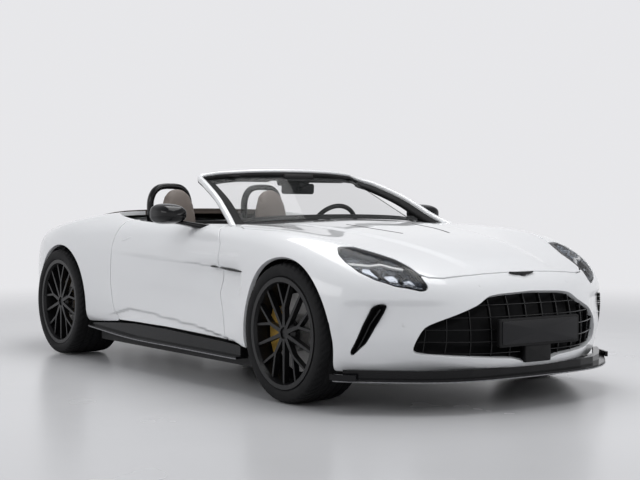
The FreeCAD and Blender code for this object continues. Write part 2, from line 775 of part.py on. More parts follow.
def bar(path_points, half_width, half_height, tilt):
    """Beam of rectangular section along a smooth path."""
    curve = Part.BSplineCurve()
    curve.interpolate(path_points)
    start = curve.value(curve.FirstParameter)
    tangent = curve.tangent(curve.FirstParameter)[0]
    side = tangent.cross(tilt).normalize()
    up = side.cross(tangent).normalize()
    corners = [start + side * (a * half_width) + up * (b * half_height)
               for a, b in ((-1, -1), (1, -1), (1, 1), (-1, 1))]
    profile = Part.makePolygon(corners + [corners[0]])
    pipe = Part.Wire([curve.toShape()]).makePipeShell([profile], True, True)
    return pipe


def make_frame():
    """The two raked pillars and the top rail, as one hoop over the cabin's front."""
    pillar = [(-700, 800, 868), (-840, 752, 930), (-1050, 702, 1040), (-1270, 652, 1125),
              (-1440, 608, 1172)]
    rail = [(-1440, 608, 1172), (-1345, 462, 1194), (-1292, 250, 1206), (-1274, 0, 1209),
            (-1292, -250, 1206), (-1345, -462, 1194), (-1440, -608, 1172)]
    left = bar([at(*p) for p in pillar], 31, 26, V(0.3, 0, 1))
    top = bar([at(*p) for p in rail], 16, 26, V(0.5, 0, 1))
    return top.fuse([left, other_side(left)])


def node_shape(label):
    return [o for o in NODES if o.Label == label][0].Shape


frame_shape = make_frame()
screen_shape = make_screen().cut(frame_shape)
coded("windscreen", screen_shape)
# The pillars pass a gap above the doors' shoulders and end on the wings and the scuttle.
below_belt = [(x, min(z, 900)) for x, z in DOOR]
frame_shape = cut_all(frame_shape, both(side_prism(below_belt, -1100, -600, GAP)))
frame_shape = cut_all(frame_shape, [node_shape("front_wings"), node_shape("cowl")])
coded("windscreen_frame", frame_shape, 200000)


# Grille, skirts and underside.

lattice_zone = block_between(patch_rows(LAST - 3, LAST + 3, DEPTH + FIT),
                             patch_rows(LAST - 3, LAST + 3, 62))
opening = front_prism(GRILLE, 420, 900, 8)
bars = [region(500, 900, 258 + 46 * k, 267 + 46 * k, 700) for k in range(7)]
bars += [front_prism([(y - 4, 230), (y + 4, 230), (y + 4, 600), (y - 4, 600)], 420, 900)
         for y in (-600, -480, -360, -240, -120, 0, 120, 240, 360, 480, 600)]
rim_zone = opening.cut(front_prism(GRILLE, 410, 910, -6))
lattice_tool = bars[0].fuse(bars[1:] + [rim_zone])
coded("grille", lattice_zone.common(opening).common(lattice_tool))

SPLITTER = mirrored([(838, 0), (834, 200), (815, 380), (775, 520), (700, 650), (600, 765),
                     (500, 870), (425, 930), (400, 930), (400, 700), (430, 0)])


def lowered(shape):
    """The shape moved down by a seat's clearance, to trim what stands up under it."""
    copy = shape.copy()
    copy.translate(V(0, 0, -FIT))
    return copy


def make_splitter():
    """Flat blade under the nose with a raised wall up to the bumper and a fence at each end."""
    blade = plan_prism(SPLITTER, 156, 170)
    edge = mirrored([(838, 0), (834, 200), (815, 380), (775, 520), (700, 650), (600, 765),
                     (500, 870), (200, 1125)])
    wall = plan_prism(edge, 170, 212, -30).cut(plan_prism(edge, 160, 220, -60))
    wall = wall.common(region(430, 900, 160, 220)).cut(lowered(node_shape("front_bumper")))
    fence = plan_prism([(400, -948), (520, -880), (512, -868), (400, -932)], 164, 192)
    shape = blade.fuse([wall, fence, other_side(fence)])
    return cut_all(shape, arch_holes[:2])


coded("front_splitter", make_splitter())

skirt_points = [(along(-455), 190), (along(-1700), 196), (along(-2290), 226), (along(-2290), 242),
                (along(-1900), 268), (along(-1700), 277), (along(-1300), 275), (along(-900), 264),
                (along(-620), 258), (along(-455), 249)]


def make_skirt():
    """Dark sill panel below the door, with a thin blade along its lower edge."""
    panel = padded_outline("skirt_panel", "XZ_Plane", skirt_points, size("body_width") / 2 - 134.7,
                           67.7)
    blade_points = [(along(-455), 180), (along(-1700), 186), (along(-2290), 218),
                    (along(-2290), 228), (along(-1700), 198), (along(-455), 192)]
    blade = padded_outline("skirt_blade", "XZ_Plane", blade_points, size("body_width") / 2 - 115, 78)
    return joined("skirt_right", [panel, blade])


skirt = make_skirt()
named(group("side_skirts_pair", [skirt, flipped("skirt_left", skirt)]), "side_skirts")


TIPS = (-560, -455, 455, 560)
TIP_HEIGHT = 246


def make_diffuser():
    """Black lower tail: a rising tray, a rear face with notches for the exhausts, and fins."""
    plan = mirrored([(-3596, 0), (-3585, 300), (-3505, 560), (-3400, 720), (-3200, 810),
                     (-3106, 830), (-3106, 0)])
    tray = side_prism([(-3105, 150), (-3105, 164), (-3540, 236), (-3580, 286), (-3597, 286),
                       (-3597, 272), (-3556, 220)], -830, 830)
    shape = plan_prism(plan, 140, 400).common(tray)
    rim = plan_prism(plan, 200, 335, -30).cut(plan_prism(plan, 190, 340, -50))
    rim = rim.common(region(-3600, -3480, 200, 335)).cut(lowered(node_shape("rear_bumper")))
    shape = shape.fuse(solids_only(rim, 20000))
    fins = []
    for y in (-300, -100, 100, 300):
        fin = side_prism([(-3300, 190), (-3540, 230), (-3575, 240), (-3575, 205), (-3420, 160),
                          (-3300, 160)], across(y).value - 5, across(y).value + 5)
        fins.append(fin)
    shape = shape.fuse(fins)
    for y in TIPS:
        start = V(along(-3640).value, across(y).value, TIP_HEIGHT)
        shape = shape.cut(Part.makeCylinder(size("exhaust_radius").value + FIT, 220, start, V(1, 0, 0)))
    return shape


coded("rear_diffuser", make_diffuser())


def make_tips():
    tips = []
    for k, y in enumerate(TIPS):
        tip = body("exhaust_tip_%d" % k)
        outer = size("exhaust_radius")
        wall = [(outer - 4, 0), (outer, 0), (outer, 150), (outer - 4, 150)]
        spun(tip, outline(tip, "XY_Plane", wall))
        place(tip, along(-3465), across(y), TIP_HEIGHT, (0, 0, 1), 90)
        tips.append(tip)
    return tips


named(group("exhaust_tips_set", make_tips()), "exhaust_tips")


# Structure and running gear.

LINER = size("arch_radius") + 14
LINER_OUTSIDE = LINER + size("liner_wall") + size("seat_clearance")


def side_box(side, name, x0, x1, inner, outer, z0, z1):
    """Box on one side of the car, between two distances from its middle."""
    y0, y1 = sorted((as_size(inner) * side, as_size(outer) * side), key=lambda c: c.value)
    return box(name, x0, x1, y0, y1, z0, z1)


def underside(panel, spots):
    """Lowest height of a panel's inner face over the given drawn spots, less a seat's clearance."""
    heights = []
    for x, y in spots:
        inside = panel.common(Part.makeLine(at(x, y, 0), at(x, y, 2000)))
        heights.append(min(v.Z for v in inside.Vertexes))
    return min(heights) - FIT


def beside(panel, lengths, heights):
    """Least distance from the car's middle to a panel's inner side, less a seat's clearance."""
    found = []
    for x in lengths:
        for z in heights:
            inside = panel.common(Part.makeLine(at(x, 300, z), at(x, 1100, z)))
            found.append(min(v.Y for v in inside.Vertexes))
    return min(found) - FIT


def rest(side, name, panel, x0, x1, inner, outer, foot):
    """Post with a buffer's flat top just under a closed lid."""
    spots = [(x, y * side) for x in (x0, x1) for y in (inner, outer)]
    top = underside(panel, spots)
    return side_box(side, name, along(x0), along(x1), inner, outer, foot, top)


def make_tub():
    """Floor, tunnel, cross walls, sills, door posts and hinge leaves."""
    low = size("floor_height")
    high = low + size("floor_thickness")
    pieces = [box("tub_floor", along(-2300), along(-560), -INNER, INNER, low, high)]
    pieces.append(box("tub_tunnel", along(-2300), along(-560), -size("tunnel_half"),
                      size("tunnel_half"), low, size("tunnel_height")))
    pieces.append(box("tub_firewall", along(-640), along(-600), -640, 640, low, 860))
    pieces.append(box("tub_rear_wall", along(-2330), along(-2290), -500, 500, low, 900))
    for side in (1, -1):
        pieces += tub_side(side, low)
    return joined("tub_sum", pieces)


def tub_side(side, low):
    return [
        side_box(side, "tub_sill", along(-2290), along(-440), INNER - 30, 850, low, SILL - 16),
        side_box(side, "tub_hinge_post", along(-596), FRONT_AXLE - LINER_OUTSIDE, 560, 840, low, 800),
        side_box(side, "tub_lock_post", along(-2288), along(-2004), INNER, 850, low, 800),
        side_box(side, "wing_bracket", along(-560), along(-520), 835,
                 beside(node_shape("front_wings"), (-560, -520), (700, 740)), 700, 740),
        side_box(side, "tub_wall_wing", REAR_AXLE + LINER_OUTSIDE, along(-2255), 490, INNER + 10,
                 low, 845),
        side_box(side, "hinge_upper", along(door_front(640, 676)) + FIT, along(-590), 790, 838,
                 640, 676),
        side_box(side, "hinge_lower", along(door_front(318, 338)) + FIT, along(-590), 790, 838,
                 318, 338),
    ]


def door_front(low, high):
    """Foremost point of the door's front edge between two heights."""
    found = []
    for (x0, z0), (x1, z1) in zip(DOOR[1:6], DOOR[2:7]):
        for z in (low, high, z0, z1):
            if low <= z <= high and z1 <= z <= z0:
                found.append(x0 + (x1 - x0) * (z - z0) / (z1 - z0))
    return max(found)


def make_nose_frame():
    """Rails, trays, spring towers and the lock panel that carries the bonnet's front edge."""
    low = size("floor_height")
    pieces = [box("nose_beam", along(600), along(640), -470, 470, 240, 430)]
    pieces.append(box("nose_tray", along(-560), along(395), -470, 470, low, low + 12))
    pieces.append(box("nose_tray_front", along(394), along(640), -470, 470, 240, 252))
    pieces.append(box("nose_step", along(383), along(395), -470, 470, low, 252))
    lid = node_shape("bonnet")
    posts = [rest(side, "lock_post", lid, 560, 596, 430, 470, 400) for side in (1, -1)]
    top = posts[0].Placement.Base.z + posts[0].Height.Value
    pieces += posts + [box("lock_panel", along(560), along(596), -440, 440, top - 40, top)]
    for side in (1, -1):
        pieces.append(side_box(side, "nose_rail", along(-600), along(640), 430, 470, 240, 420))
        pieces.append(side_box(side, "front_tower", FRONT_AXLE - 200, FRONT_AXLE + 200, 430, 470,
                               400, 712))
        pieces.append(side_box(side, "front_tower_cap", FRONT_AXLE - 60, FRONT_AXLE + 60, 430, 530,
                               700, 712))
        pieces.append(side_box(side, "buffer_foot", FRONT_AXLE - 160, FRONT_AXLE - 100, 430, 470,
                               700, 740))
        pieces.append(rest(side, "bonnet_buffer", lid, -145, -115, 440, 470, 730))
    return joined("nose_frame_sum", pieces)


def make_tail_frame():
    """Rear rails, spring towers, boot floor with its side walls, and the boot lid's buffers."""
    end = beside(node_shape("rear_bumper"), (-3420, -3380), (420, 480))
    pieces = [box("tail_beam", along(-3420), along(-3380), -end, end, 420, 480)]
    pieces.append(box("boot_floor", along(-3400), along(-2330), -470, 470, 500, 520))
    lid = node_shape("boot_lid")
    for side in (1, -1):
        pieces.append(side_box(side, "tail_rail", along(-3400), along(-2330), 430, 470, 400, 500))
        pieces.append(side_box(side, "boot_wall", along(-3400), along(-2330), 450, 470, 500, 700))
        pieces.append(side_box(side, "rear_tower", REAR_AXLE - 120, REAR_AXLE + 120, 430, 470,
                               500, 742))
        pieces.append(side_box(side, "rear_tower_cap", REAR_AXLE - 60, REAR_AXLE + 60, 430, 570,
                               730, 742))
        pieces.append(side_box(side, "quarter_arm", along(-3215), along(-3185), 465, 600, 660, 700))
        pieces.append(rest(side, "quarter_post", node_shape("rear_body"), -3215, -3185, 565, 600,
                           690))
        for x in (-3320, -3010):
            pieces.append(rest(side, "boot_buffer", lid, x - 15, x + 15, 440, 470, 690))
    return joined("tail_frame_sum", pieces)


named(make_tub(), "chassis_tub")
named(make_nose_frame(), "front_structure")
named(make_tail_frame(), "rear_structure")


def make_liner(name, front, side):
    """Wheel housing over one wheel: an open drum a little larger than the arch."""
    inner = LINER
    liner = body(name)
    reach = 295 if front else 330
    wall = [(inner, 0), (inner + size("liner_wall"), 0), (inner + size("liner_wall"), reach),
            (inner, reach)]
    spun(liner, outline(liner, "XY_Plane", wall), angle=200, back=True)
    base = V((FRONT_AXLE if front else REAR_AXLE).value, 505 * side, AXLE_HEIGHT.value)
    face = FreeCAD.Rotation(V(0, 0, 1), 0 if side > 0 else 180)
    liner.Placement = FreeCAD.Placement(base, face.multiply(FreeCAD.Rotation(V(0, 1, 0), 10)))
    liner.setExpression("Placement.Base.x", (FRONT_AXLE if front else REAR_AXLE).text)
    liner.setExpression("Placement.Base.z", AXLE_HEIGHT.text)
    return liner


named(group("wheel_liners_set", [make_liner("liner_" + name, front, side)
                                 for name, front, side in CORNERS]), "wheel_liners")

CROSS_TOP = 186
engine = box("engine_block", along(-560), along(-560) + size("engine_length"),
             -size("engine_width") / 2, size("engine_width") / 2, CROSS_TOP + size("seat_clearance"),
             CROSS_TOP + size("seat_clearance") + size("engine_height"))
named(engine, "engine")


def make_front_suspension():
    """Subframe, wishbones with their ball pins, and spring struts at the front."""
    parts = [box("front_cross", FRONT_AXLE - 200, FRONT_AXLE + 200, -430, 430,
                 size("floor_height") + 12 + size("seat_clearance"), CROSS_TOP)]
    low, high = AXLE_HEIGHT - 188, AXLE_HEIGHT + 189
    for side in (1, -1):
        pin = (size("front_track") / 2 + hub_offset(True) - 77) * side
        for dx in (-170, 170):
            parts.append(rod("lower_arm", (FRONT_AXLE + dx, 415 * side, low),
                             (FRONT_AXLE, pin, low), 15))
            parts.append(rod("upper_arm", (FRONT_AXLE + dx * 0.8, 475.2 * side, high),
                             (FRONT_AXLE, pin, high), 11))
        parts.append(rod("lower_pin", (FRONT_AXLE, pin, low), (FRONT_AXLE, pin, AXLE_HEIGHT - 168.4),
                         16))
        parts.append(rod("upper_pin", (FRONT_AXLE, pin, high), (FRONT_AXLE, pin, AXLE_HEIGHT + 170.4),
                         13))
        parts.append(rod("strut", (FRONT_AXLE, 585 * side, low + 4),
                         (FRONT_AXLE, 502 * side, 695.2), 28))
    return joined("front_arms", parts)


def make_rear_suspension():
    """Transaxle, arms, springs and drive shafts out to the rear wheels' carriers."""
    parts = [box("transaxle", REAR_AXLE - 200, REAR_AXLE + 360, -190, 190, 190, 399)]
    for side in (1, -1):
        hub = size("rear_track") / 2 + hub_offset(False)
        parts.append(rod("drive_shaft", (REAR_AXLE, 180 * side, AXLE_HEIGHT),
                         (REAR_AXLE, (hub + 50 - size("seat_clearance")) * side, AXLE_HEIGHT), 24))
        carrier = (hub - 100) * side
        parts.append(side_box(side, "carrier", REAR_AXLE - 55, REAR_AXLE + 55, hub - 100, hub - 42,
                              210, 520))
        parts.append(side_box(side, "caliper_bracket", REAR_AXLE + 50, REAR_AXLE + 160, hub - 98,
                              hub - 58 - size("seat_clearance"), AXLE_HEIGHT - 30,
                              AXLE_HEIGHT + 30))
        for dx in (-180, 180):
            parts.append(rod("rear_lower", (REAR_AXLE + dx, 185 * side, 230),
                             (REAR_AXLE + dx * 0.2, carrier + side * 8, 236), 18))
            parts.append(rod("rear_upper", (REAR_AXLE + dx, 477 * side, 450),
                             (REAR_AXLE + dx * 0.2, carrier + side * 8, 500), 13))
        parts.append(rod("rear_strut", (REAR_AXLE, carrier + side * 10, 420),
                         (REAR_AXLE, 540 * side, 711.7), 30))
    return joined("rear_arms", parts)


named(make_front_suspension(), "front_suspension")
named(make_rear_suspension(), "rear_suspension")


# Cabin.

def make_seat(name, side):
    """Sports seat: cushion, raked back with a narrow headrest in one, and raised side bolsters."""
    middle = side * size("seat_half_track")
    half = size("seat_width") / 2
    foot = size("floor_height") + size("floor_thickness") + 0.3
    seat_side = [(along(-1330), foot), (along(-1330), 330), (along(-1440), 352), (along(-1800), 300),
                 (along(-1850), 330), (along(-2062), 880), (along(-2184), 880),
                 (along(-2180), 850), (along(-1990), 300), (along(-1900), foot)]
    lower = padded_outline(name + "_core", "XZ_Plane", seat_side, -middle - (half - 70),
                           size("seat_width") - 140)
    bolster = [(along(-1390), 200), (along(-1390), 370), (along(-1500), 392), (along(-1780), 372),
               (along(-1850), 420), (along(-2010), 800), (along(-2070), 830), (along(-2130), 790),
               (along(-1960), 340), (along(-1890), 200)]
    left = padded_outline(name + "_bolster_a", "XZ_Plane", bolster, -middle - half, 84)
    right = padded_outline(name + "_bolster_b", "XZ_Plane", bolster, -middle + half - 84, 84)
    head_side = [(along(-2050), 850), (along(-2060), 905), (along(-2092), 1060),
                 (along(-2118), 1121), (along(-2158), 1126), (along(-2180), 1060),
                 (along(-2190), 980), (along(-2186), 850)]
    head_half = [(134, 850), (132, 950), (112, 1050), (84, 1105), (48, 1126)]
    head_front = [(y + middle, z) for y, z in head_half]
    head_front += [(middle - y, z) for y, z in reversed(head_half)]
    profile = padded_outline(name + "_head_side", "XZ_Plane", head_side, -middle - 140, 280)
    face = padded_outline(name + "_head_face", "YZ_Plane", head_front, along(-2240), 240)
    head = shared(name + "_head", profile, face)
    return joined(name + "_sum", [lower, left, right, head])


named(group("seats_pair", [make_seat("seat_l", 1), make_seat("seat_r", -1)]), "seats")

dash_side = [(along(-680), 560), (along(-680), 850), (along(-760), 862), (along(-900), 866),
             (along(-1010), 846), (along(-1060), 800), (along(-1040), 700), (along(-960), 600),
             (along(-860), 540)]
dash = padded_outline("dash_top", "XZ_Plane", dash_side, -(INNER - 12), (INNER - 12) * 2)
shroud = rod("column_shroud", (along(-1040), size("seat_half_track"), 686.4),
             (along(-1284.5), size("seat_half_track"), 795.25), 44)
named(joined("dashboard_sum", [dash, shroud]), "dashboard")

console_side = [(along(-865), 440.3), (along(-865), 539.7), (along(-960.3), 599.5),
                (along(-1040.6), 699.5),
                (along(-1090), 640), (along(-1300), 560), (along(-2200), 570), (along(-2280), 620),
                (along(-2280), 440.3)]
console = padded_outline("console_top", "XZ_Plane", console_side, -118, 236)
named(console, "centre_console")


def make_hoops():
    """Two roll hoops behind the seats, each a rounded arch on a shared foot beam."""
    outer = [(-164, 880), (-168, 1010), (-152, 1084), (-114, 1134), (-62, 1157), (62, 1157),
             (114, 1134), (152, 1084), (168, 1010), (164, 880)]
    inner = [(122, 880), (126, 1006), (112, 1064), (82, 1100), (46, 1115), (-46, 1115),
             (-82, 1100), (-112, 1064), (-126, 1006), (-122, 880)]
    hoops = []
    for side, name in ((1, "hoop_l"), (-1, "hoop_r")):
        shift = side * size("seat_half_track")
        points = [(shift + y, z) for y, z in outer + inner]
        hoops.append(padded_outline(name, "YZ_Plane", points, along(-2262), 46))
    hoops.append(box("hoop_beam", along(-2289.7), along(-2215), -560, 560, 850, 905))
    return joined("roll_hoops_sum", hoops)


named(make_hoops(), "roll_hoops")


def make_steering_wheel():
    """Rim, three spokes and hub on a short column."""
    ring = doc.addObject("Part::Torus", "steering_ring")
    bind(ring, "Radius1", size("steering_wheel_radius"))
    bind(ring, "Radius2", size("steering_wheel_rim"))
    hub = doc.addObject("Part::Cylinder", "steering_hub")
    hub.Radius = 62
    hub.Height = 46
    hub.Placement = FreeCAD.Placement(V(0, 0, -12), FreeCAD.Rotation())
    column = doc.addObject("Part::Cylinder", "steering_column")
    column.Radius = 34
    column.Height = 79.6
    column.Placement = FreeCAD.Placement(V(0, 0, 30), FreeCAD.Rotation())
    spokes = []
    for angle in (0, 90, 270):
        spoke = doc.addObject("Part::Box", "steering_spoke")
        bind(spoke, "Length", size("steering_wheel_radius") - 44)
        spoke.Width = 44
        spoke.Height = 14
        turn = FreeCAD.Rotation(V(0, 0, 1), angle)
        spoke.Placement = FreeCAD.Placement(turn.multVec(V(40, -22, -7)), turn)
        spokes.append(spoke)
    return joined("steering_wheel_sum", [ring, hub, column] + spokes)


STEER_TILT = 114
steering = make_steering_wheel()
place(steering, along(-1385), size("seat_half_track"), 840, (0, 1, 0), STEER_TILT)
named(steering, "steering_wheel")


# Checks and export.

doc.recompute()
faults = []
for item in doc.Objects:
    if "Invalid" in item.State or "Error" in item.State:
        faults.append("%s: %s" % (item.Name, item.State))
for item in NODES:
    shape = item.Shape
    if shape.isNull() or not shape.isValid() or not shape.Solids:
        faults.append("%s: shape null, open or not valid" % item.Label)
for line in faults:
    print("FAULT", line)
if faults:
    raise SystemExit("the model is not sound")

os.makedirs("parts", exist_ok=True)
for item in NODES:
    item.Shape.exportStep("parts/%s.step" % item.Label)
    bound = item.Shape.BoundBox
    print("%-20s %2d solids %8.2f l  x %.0f..%.0f y %.0f..%.0f z %.0f..%.0f" % (
        item.Label, len(item.Shape.Solids), item.Shape.Volume / 1e6, bound.XMin, bound.XMax,
        bound.YMin, bound.YMax, bound.ZMin, bound.ZMax))
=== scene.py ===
import math

import bpy
import numpy as np
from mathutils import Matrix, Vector


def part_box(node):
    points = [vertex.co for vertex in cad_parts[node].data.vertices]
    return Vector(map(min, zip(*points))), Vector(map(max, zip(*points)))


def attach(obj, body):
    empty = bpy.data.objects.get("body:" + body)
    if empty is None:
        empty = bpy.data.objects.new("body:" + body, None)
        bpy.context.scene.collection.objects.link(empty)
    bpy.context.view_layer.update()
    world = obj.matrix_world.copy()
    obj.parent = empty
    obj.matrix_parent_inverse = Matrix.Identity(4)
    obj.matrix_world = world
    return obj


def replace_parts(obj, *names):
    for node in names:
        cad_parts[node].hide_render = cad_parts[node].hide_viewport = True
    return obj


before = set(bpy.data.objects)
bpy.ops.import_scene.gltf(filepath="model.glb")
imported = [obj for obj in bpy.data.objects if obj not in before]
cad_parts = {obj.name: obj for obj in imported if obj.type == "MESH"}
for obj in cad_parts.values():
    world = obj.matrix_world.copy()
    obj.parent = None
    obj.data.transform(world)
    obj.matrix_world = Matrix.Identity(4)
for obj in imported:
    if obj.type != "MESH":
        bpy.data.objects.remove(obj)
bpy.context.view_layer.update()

# Studio: a plain pale floor, a pale surround and large soft lamps over and beside the car.
# The camera stands low ahead of the right front wheel, as the photograph's did.
CAMERA_PLACE = (6.6395, -4.455, 0.984)
CAMERA_TURN = math.radians(35.5)
CAMERA_DIP = math.radians(1.42)
CAMERA_LENS = 70.3
PALE = (0.80, 0.80, 0.82)

scene = bpy.context.scene
scene.view_settings.view_transform = "Standard"


def aimed(name, data, place, way):
    """Lamp or camera at a place, looking along a direction."""
    holder = bpy.data.objects.new(name, data)
    holder.location = place
    holder.rotation_mode = "QUATERNION"
    holder.rotation_quaternion = Vector(way).to_track_quat("-Z", "Y")
    scene.collection.objects.link(holder)
    return holder


lens = bpy.data.cameras.new("camera")
lens.lens = CAMERA_LENS
ahead = (-math.cos(CAMERA_TURN) * math.cos(CAMERA_DIP),
         math.sin(CAMERA_TURN) * math.cos(CAMERA_DIP), -math.sin(CAMERA_DIP))
scene.camera = aimed("camera", lens, CAMERA_PLACE, ahead)


def soft_lamp(name, place, aim, width, height, power):
    """Oblong area lamp at a place, aimed at a point."""
    lamp = bpy.data.lights.new(name, "AREA")
    lamp.shape = "RECTANGLE"
    lamp.size, lamp.size_y = width, height
    lamp.energy = power
    return aimed(name, lamp, place, Vector(aim) - Vector(place))


soft_lamp("lamp_over", (0.2, 0.3, 4.6), (0.1, 0, 0.6), 6.4, 2.6, 168)
soft_lamp("lamp_nose", (6.0, 3.2, 2.6), (1.4, 0, 0.5), 3.2, 2.0, 58)
soft_lamp("lamp_flank", (0.4, -6.6, 3.2), (-0.2, 0, 0.55), 6.4, 1.8, 74)


class Wire:
    """A socket in a material, on which sums and products are written as Python."""

    def __init__(self, tree, socket):
        self.tree = tree
        self.socket = socket

    def add(self, kind, settings=None, sockets=None, out=0):
        """A new node of a kind, with its settings made first and its sockets' values or links next."""
        node = self.tree.nodes.new(kind)
        for name, value in (settings or {}).items():
            if name == "stops":
                while len(node.color_ramp.elements) < len(value):
                    node.color_ramp.elements.new(0.5)
                for element, (spot, colour) in zip(node.color_ramp.elements, value):
                    element.position = spot
                    element.color = (*colour, 1)
            else:
                setattr(node, name, value)
        for name, value in (sockets or {}).items():
            if isinstance(value, Wire):
                self.tree.links.new(value.socket, node.inputs[name])
            else:
                node.inputs[name].default_value = value
        return Wire(self.tree, node.outputs[out])

    def math(self, operation, other):
        return self.add("ShaderNodeMath", {"operation": operation}, {0: self, 1: other})

    def __add__(self, other):
        return self.math("ADD", other)

    def __mul__(self, other):
        return self.math("MULTIPLY", other)

    def above(self, limit, soft):
        """Rises from zero at the limit to one at the end of a soft band above it."""
        return self.add("ShaderNodeMapRange", {"interpolation_type": "SMOOTHSTEP"},
                        {"Value": self, "From Min": limit, "From Max": limit + soft})

    def mixed(self, low, high):
        """Colour that goes from low to high as this value goes from 0 to 1."""
        colours = {"Factor": self, 6: low, 7: high}
        return self.add("ShaderNodeMix", {"data_type": "RGBA"}, colours, out=2)

    def cloud(self, scale, detail=3.0):
        """Noise in this place, with so many lumps to the metre."""
        return self.add("ShaderNodeTexNoise", {}, {"Vector": self, "Scale": scale, "Detail": detail})


def rgb(red, green, blue):
    return (red, green, blue, 1.0)


class Finish:
    """A Principled material: constants go on its own sockets, varying maps are linked in."""

    def __init__(self, name, colour, roughness, **constants):
        self.material = bpy.data.materials.new(name)
        self.material.use_nodes = True
        tree = self.material.node_tree
        self.shader = tree.nodes["Principled BSDF"]
        self.start = Wire(tree, None)
        self.set("Base Color", colour)
        self.set("Roughness", roughness)
        for socket, value in constants.items():
            self.set(socket.replace("_", " "), value)
        self.place = self.start.add("ShaderNodeTexCoord", out=3)

    def set(self, socket, value):
        if isinstance(value, Wire):
            self.start.tree.links.new(value.socket, self.shader.inputs[socket])
        else:
            self.shader.inputs[socket].default_value = value

    def dress(self, *nodes):
        """Puts the finish on CAD pieces whose shape is already right."""
        for name in nodes:
            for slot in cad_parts[name].material_slots:
                slot.link = "OBJECT"
                slot.material = self.material

    def bump(self, height, distance, strength=1.0):
        """Height from 0 to 1 raised by a distance in metres."""
        self.set("Normal", self.start.add("ShaderNodeBump", {}, {
            "Height": height, "Distance": distance, "Strength": strength}))

    def worn(self, scale, spread, least):
        """Roughness that varies by a spread over its least value."""
        self.set("Roughness", self.place.cloud(scale) * spread + least)

    def tinted(self, scale, low, high):
        """Colour that wanders between two."""
        self.set("Base Color", self.place.cloud(scale).mixed(low, high))

    def grained(self, scale, distance, strength, detail=1.0):
        """Fine lumps raised by a distance in metres."""
        self.bump(self.place.cloud(scale, detail), distance, strength)


def of_rays(tree, *kinds):
    """One for rays of any of these kinds and zero for all others."""
    outputs = tree.nodes.new("ShaderNodeLightPath").outputs
    found = Wire(tree, outputs[kinds[0]])
    for kind in kinds[1:]:
        found = found.math("MAXIMUM", Wire(tree, outputs[kind]))
    return found


def shown_world():
    """Pale backdrop, greyer overhead, to the camera, to gloss and through glass; soft light else."""
    world = bpy.data.worlds.new("surround")
    scene.world = world
    world.use_nodes = True
    tree = world.node_tree
    start = Wire(tree, None)
    seen = of_rays(tree, "Is Camera Ray", "Is Glossy Ray", "Is Transmission Ray")
    rise = start.add("ShaderNodeSeparateXYZ", {}, {
        "Vector": start.add("ShaderNodeTexCoord", out=0)}, out=2)
    height = rise * 0.5 + 0.5
    studio = start.add("ShaderNodeValToRGB", {"stops": [
        (0.0, (0.12, 0.12, 0.125)), (0.48, (0.16, 0.16, 0.17)), (0.53, (0.43, 0.44, 0.46)),
        (0.70, (0.54, 0.55, 0.57)), (1.0, (0.46, 0.47, 0.49))]}, {"Fac": height})
    backdrop = start.add("ShaderNodeValToRGB", {"stops": [
        (0.0, PALE), (0.60, PALE), (0.70, (0.50, 0.50, 0.52)), (1.0, (0.30, 0.30, 0.32))]},
                         {"Fac": height})
    back = tree.nodes["Background"]
    tree.links.new(seen.mixed(studio, backdrop).socket, back.inputs["Color"])
    back.inputs["Strength"].default_value = 1.0


shown_world()


def whole_mesh(name, points, *faces):
    """Mesh of the points, with its faces as arrays of corner numbers, three or four to a row."""
    mesh = bpy.data.meshes.new(name)
    corners = np.concatenate([f.ravel() for f in faces])
    sizes = np.concatenate([np.full(len(f), f.shape[1]) for f in faces])
    mesh.vertices.add(len(points))
    mesh.vertices.foreach_set("co", np.asarray(points, np.float32).ravel())
    mesh.loops.add(len(corners))
    mesh.loops.foreach_set("vertex_index", corners.astype(np.int32))
    mesh.polygons.add(len(sizes))
    mesh.polygons.foreach_set("loop_start", (np.cumsum(sizes) - sizes).astype(np.int32))
    mesh.polygons.foreach_set("use_smooth", np.ones(len(sizes), bool))
    mesh.update(calc_edges=True)
    mesh.validate()
    return mesh


floor_finish = Finish("floor", rgb(0.62, 0.62, 0.63), 0.3, Specular_IOR_Level=0.35)
floor_finish.worn(1.5, 0.08, 0.22)


def far_floor(finish, near=3.2, far=9.0):
    """Away from the car the floor passes into the plain pale surround."""
    place = finish.place.add("ShaderNodeVectorMath", {"operation": "LENGTH"},
                             {0: finish.place}, out=1)
    glow = finish.start.add("ShaderNodeEmission", {}, {"Color": rgb(*PALE), "Strength": 1.0})
    tree = finish.start.tree
    seen = of_rays(tree, "Is Camera Ray", "Is Glossy Ray")
    mixed = finish.start.add("ShaderNodeMixShader", {}, {
        0: place.above(near, far - near) * seen, 1: Wire(tree, finish.shader.outputs[0]), 2: glow})
    tree.links.new(mixed.socket, tree.nodes["Material Output"].inputs["Surface"])


far_floor(floor_finish)
FLOOR_HALF = 30
FLOOR_DROP = 0.001
floor_points = [(x * FLOOR_HALF, y * FLOOR_HALF, -FLOOR_DROP)
                for x, y in ((-1, -1), (1, -1), (1, 1), (-1, 1))]
floor_mesh = whole_mesh("floor", np.array(floor_points), np.array([[0, 1, 2, 3]]))
floor_mesh.materials.append(floor_finish.material)
floor = bpy.data.objects.new("floor", floor_mesh)
scene.collection.objects.link(floor)

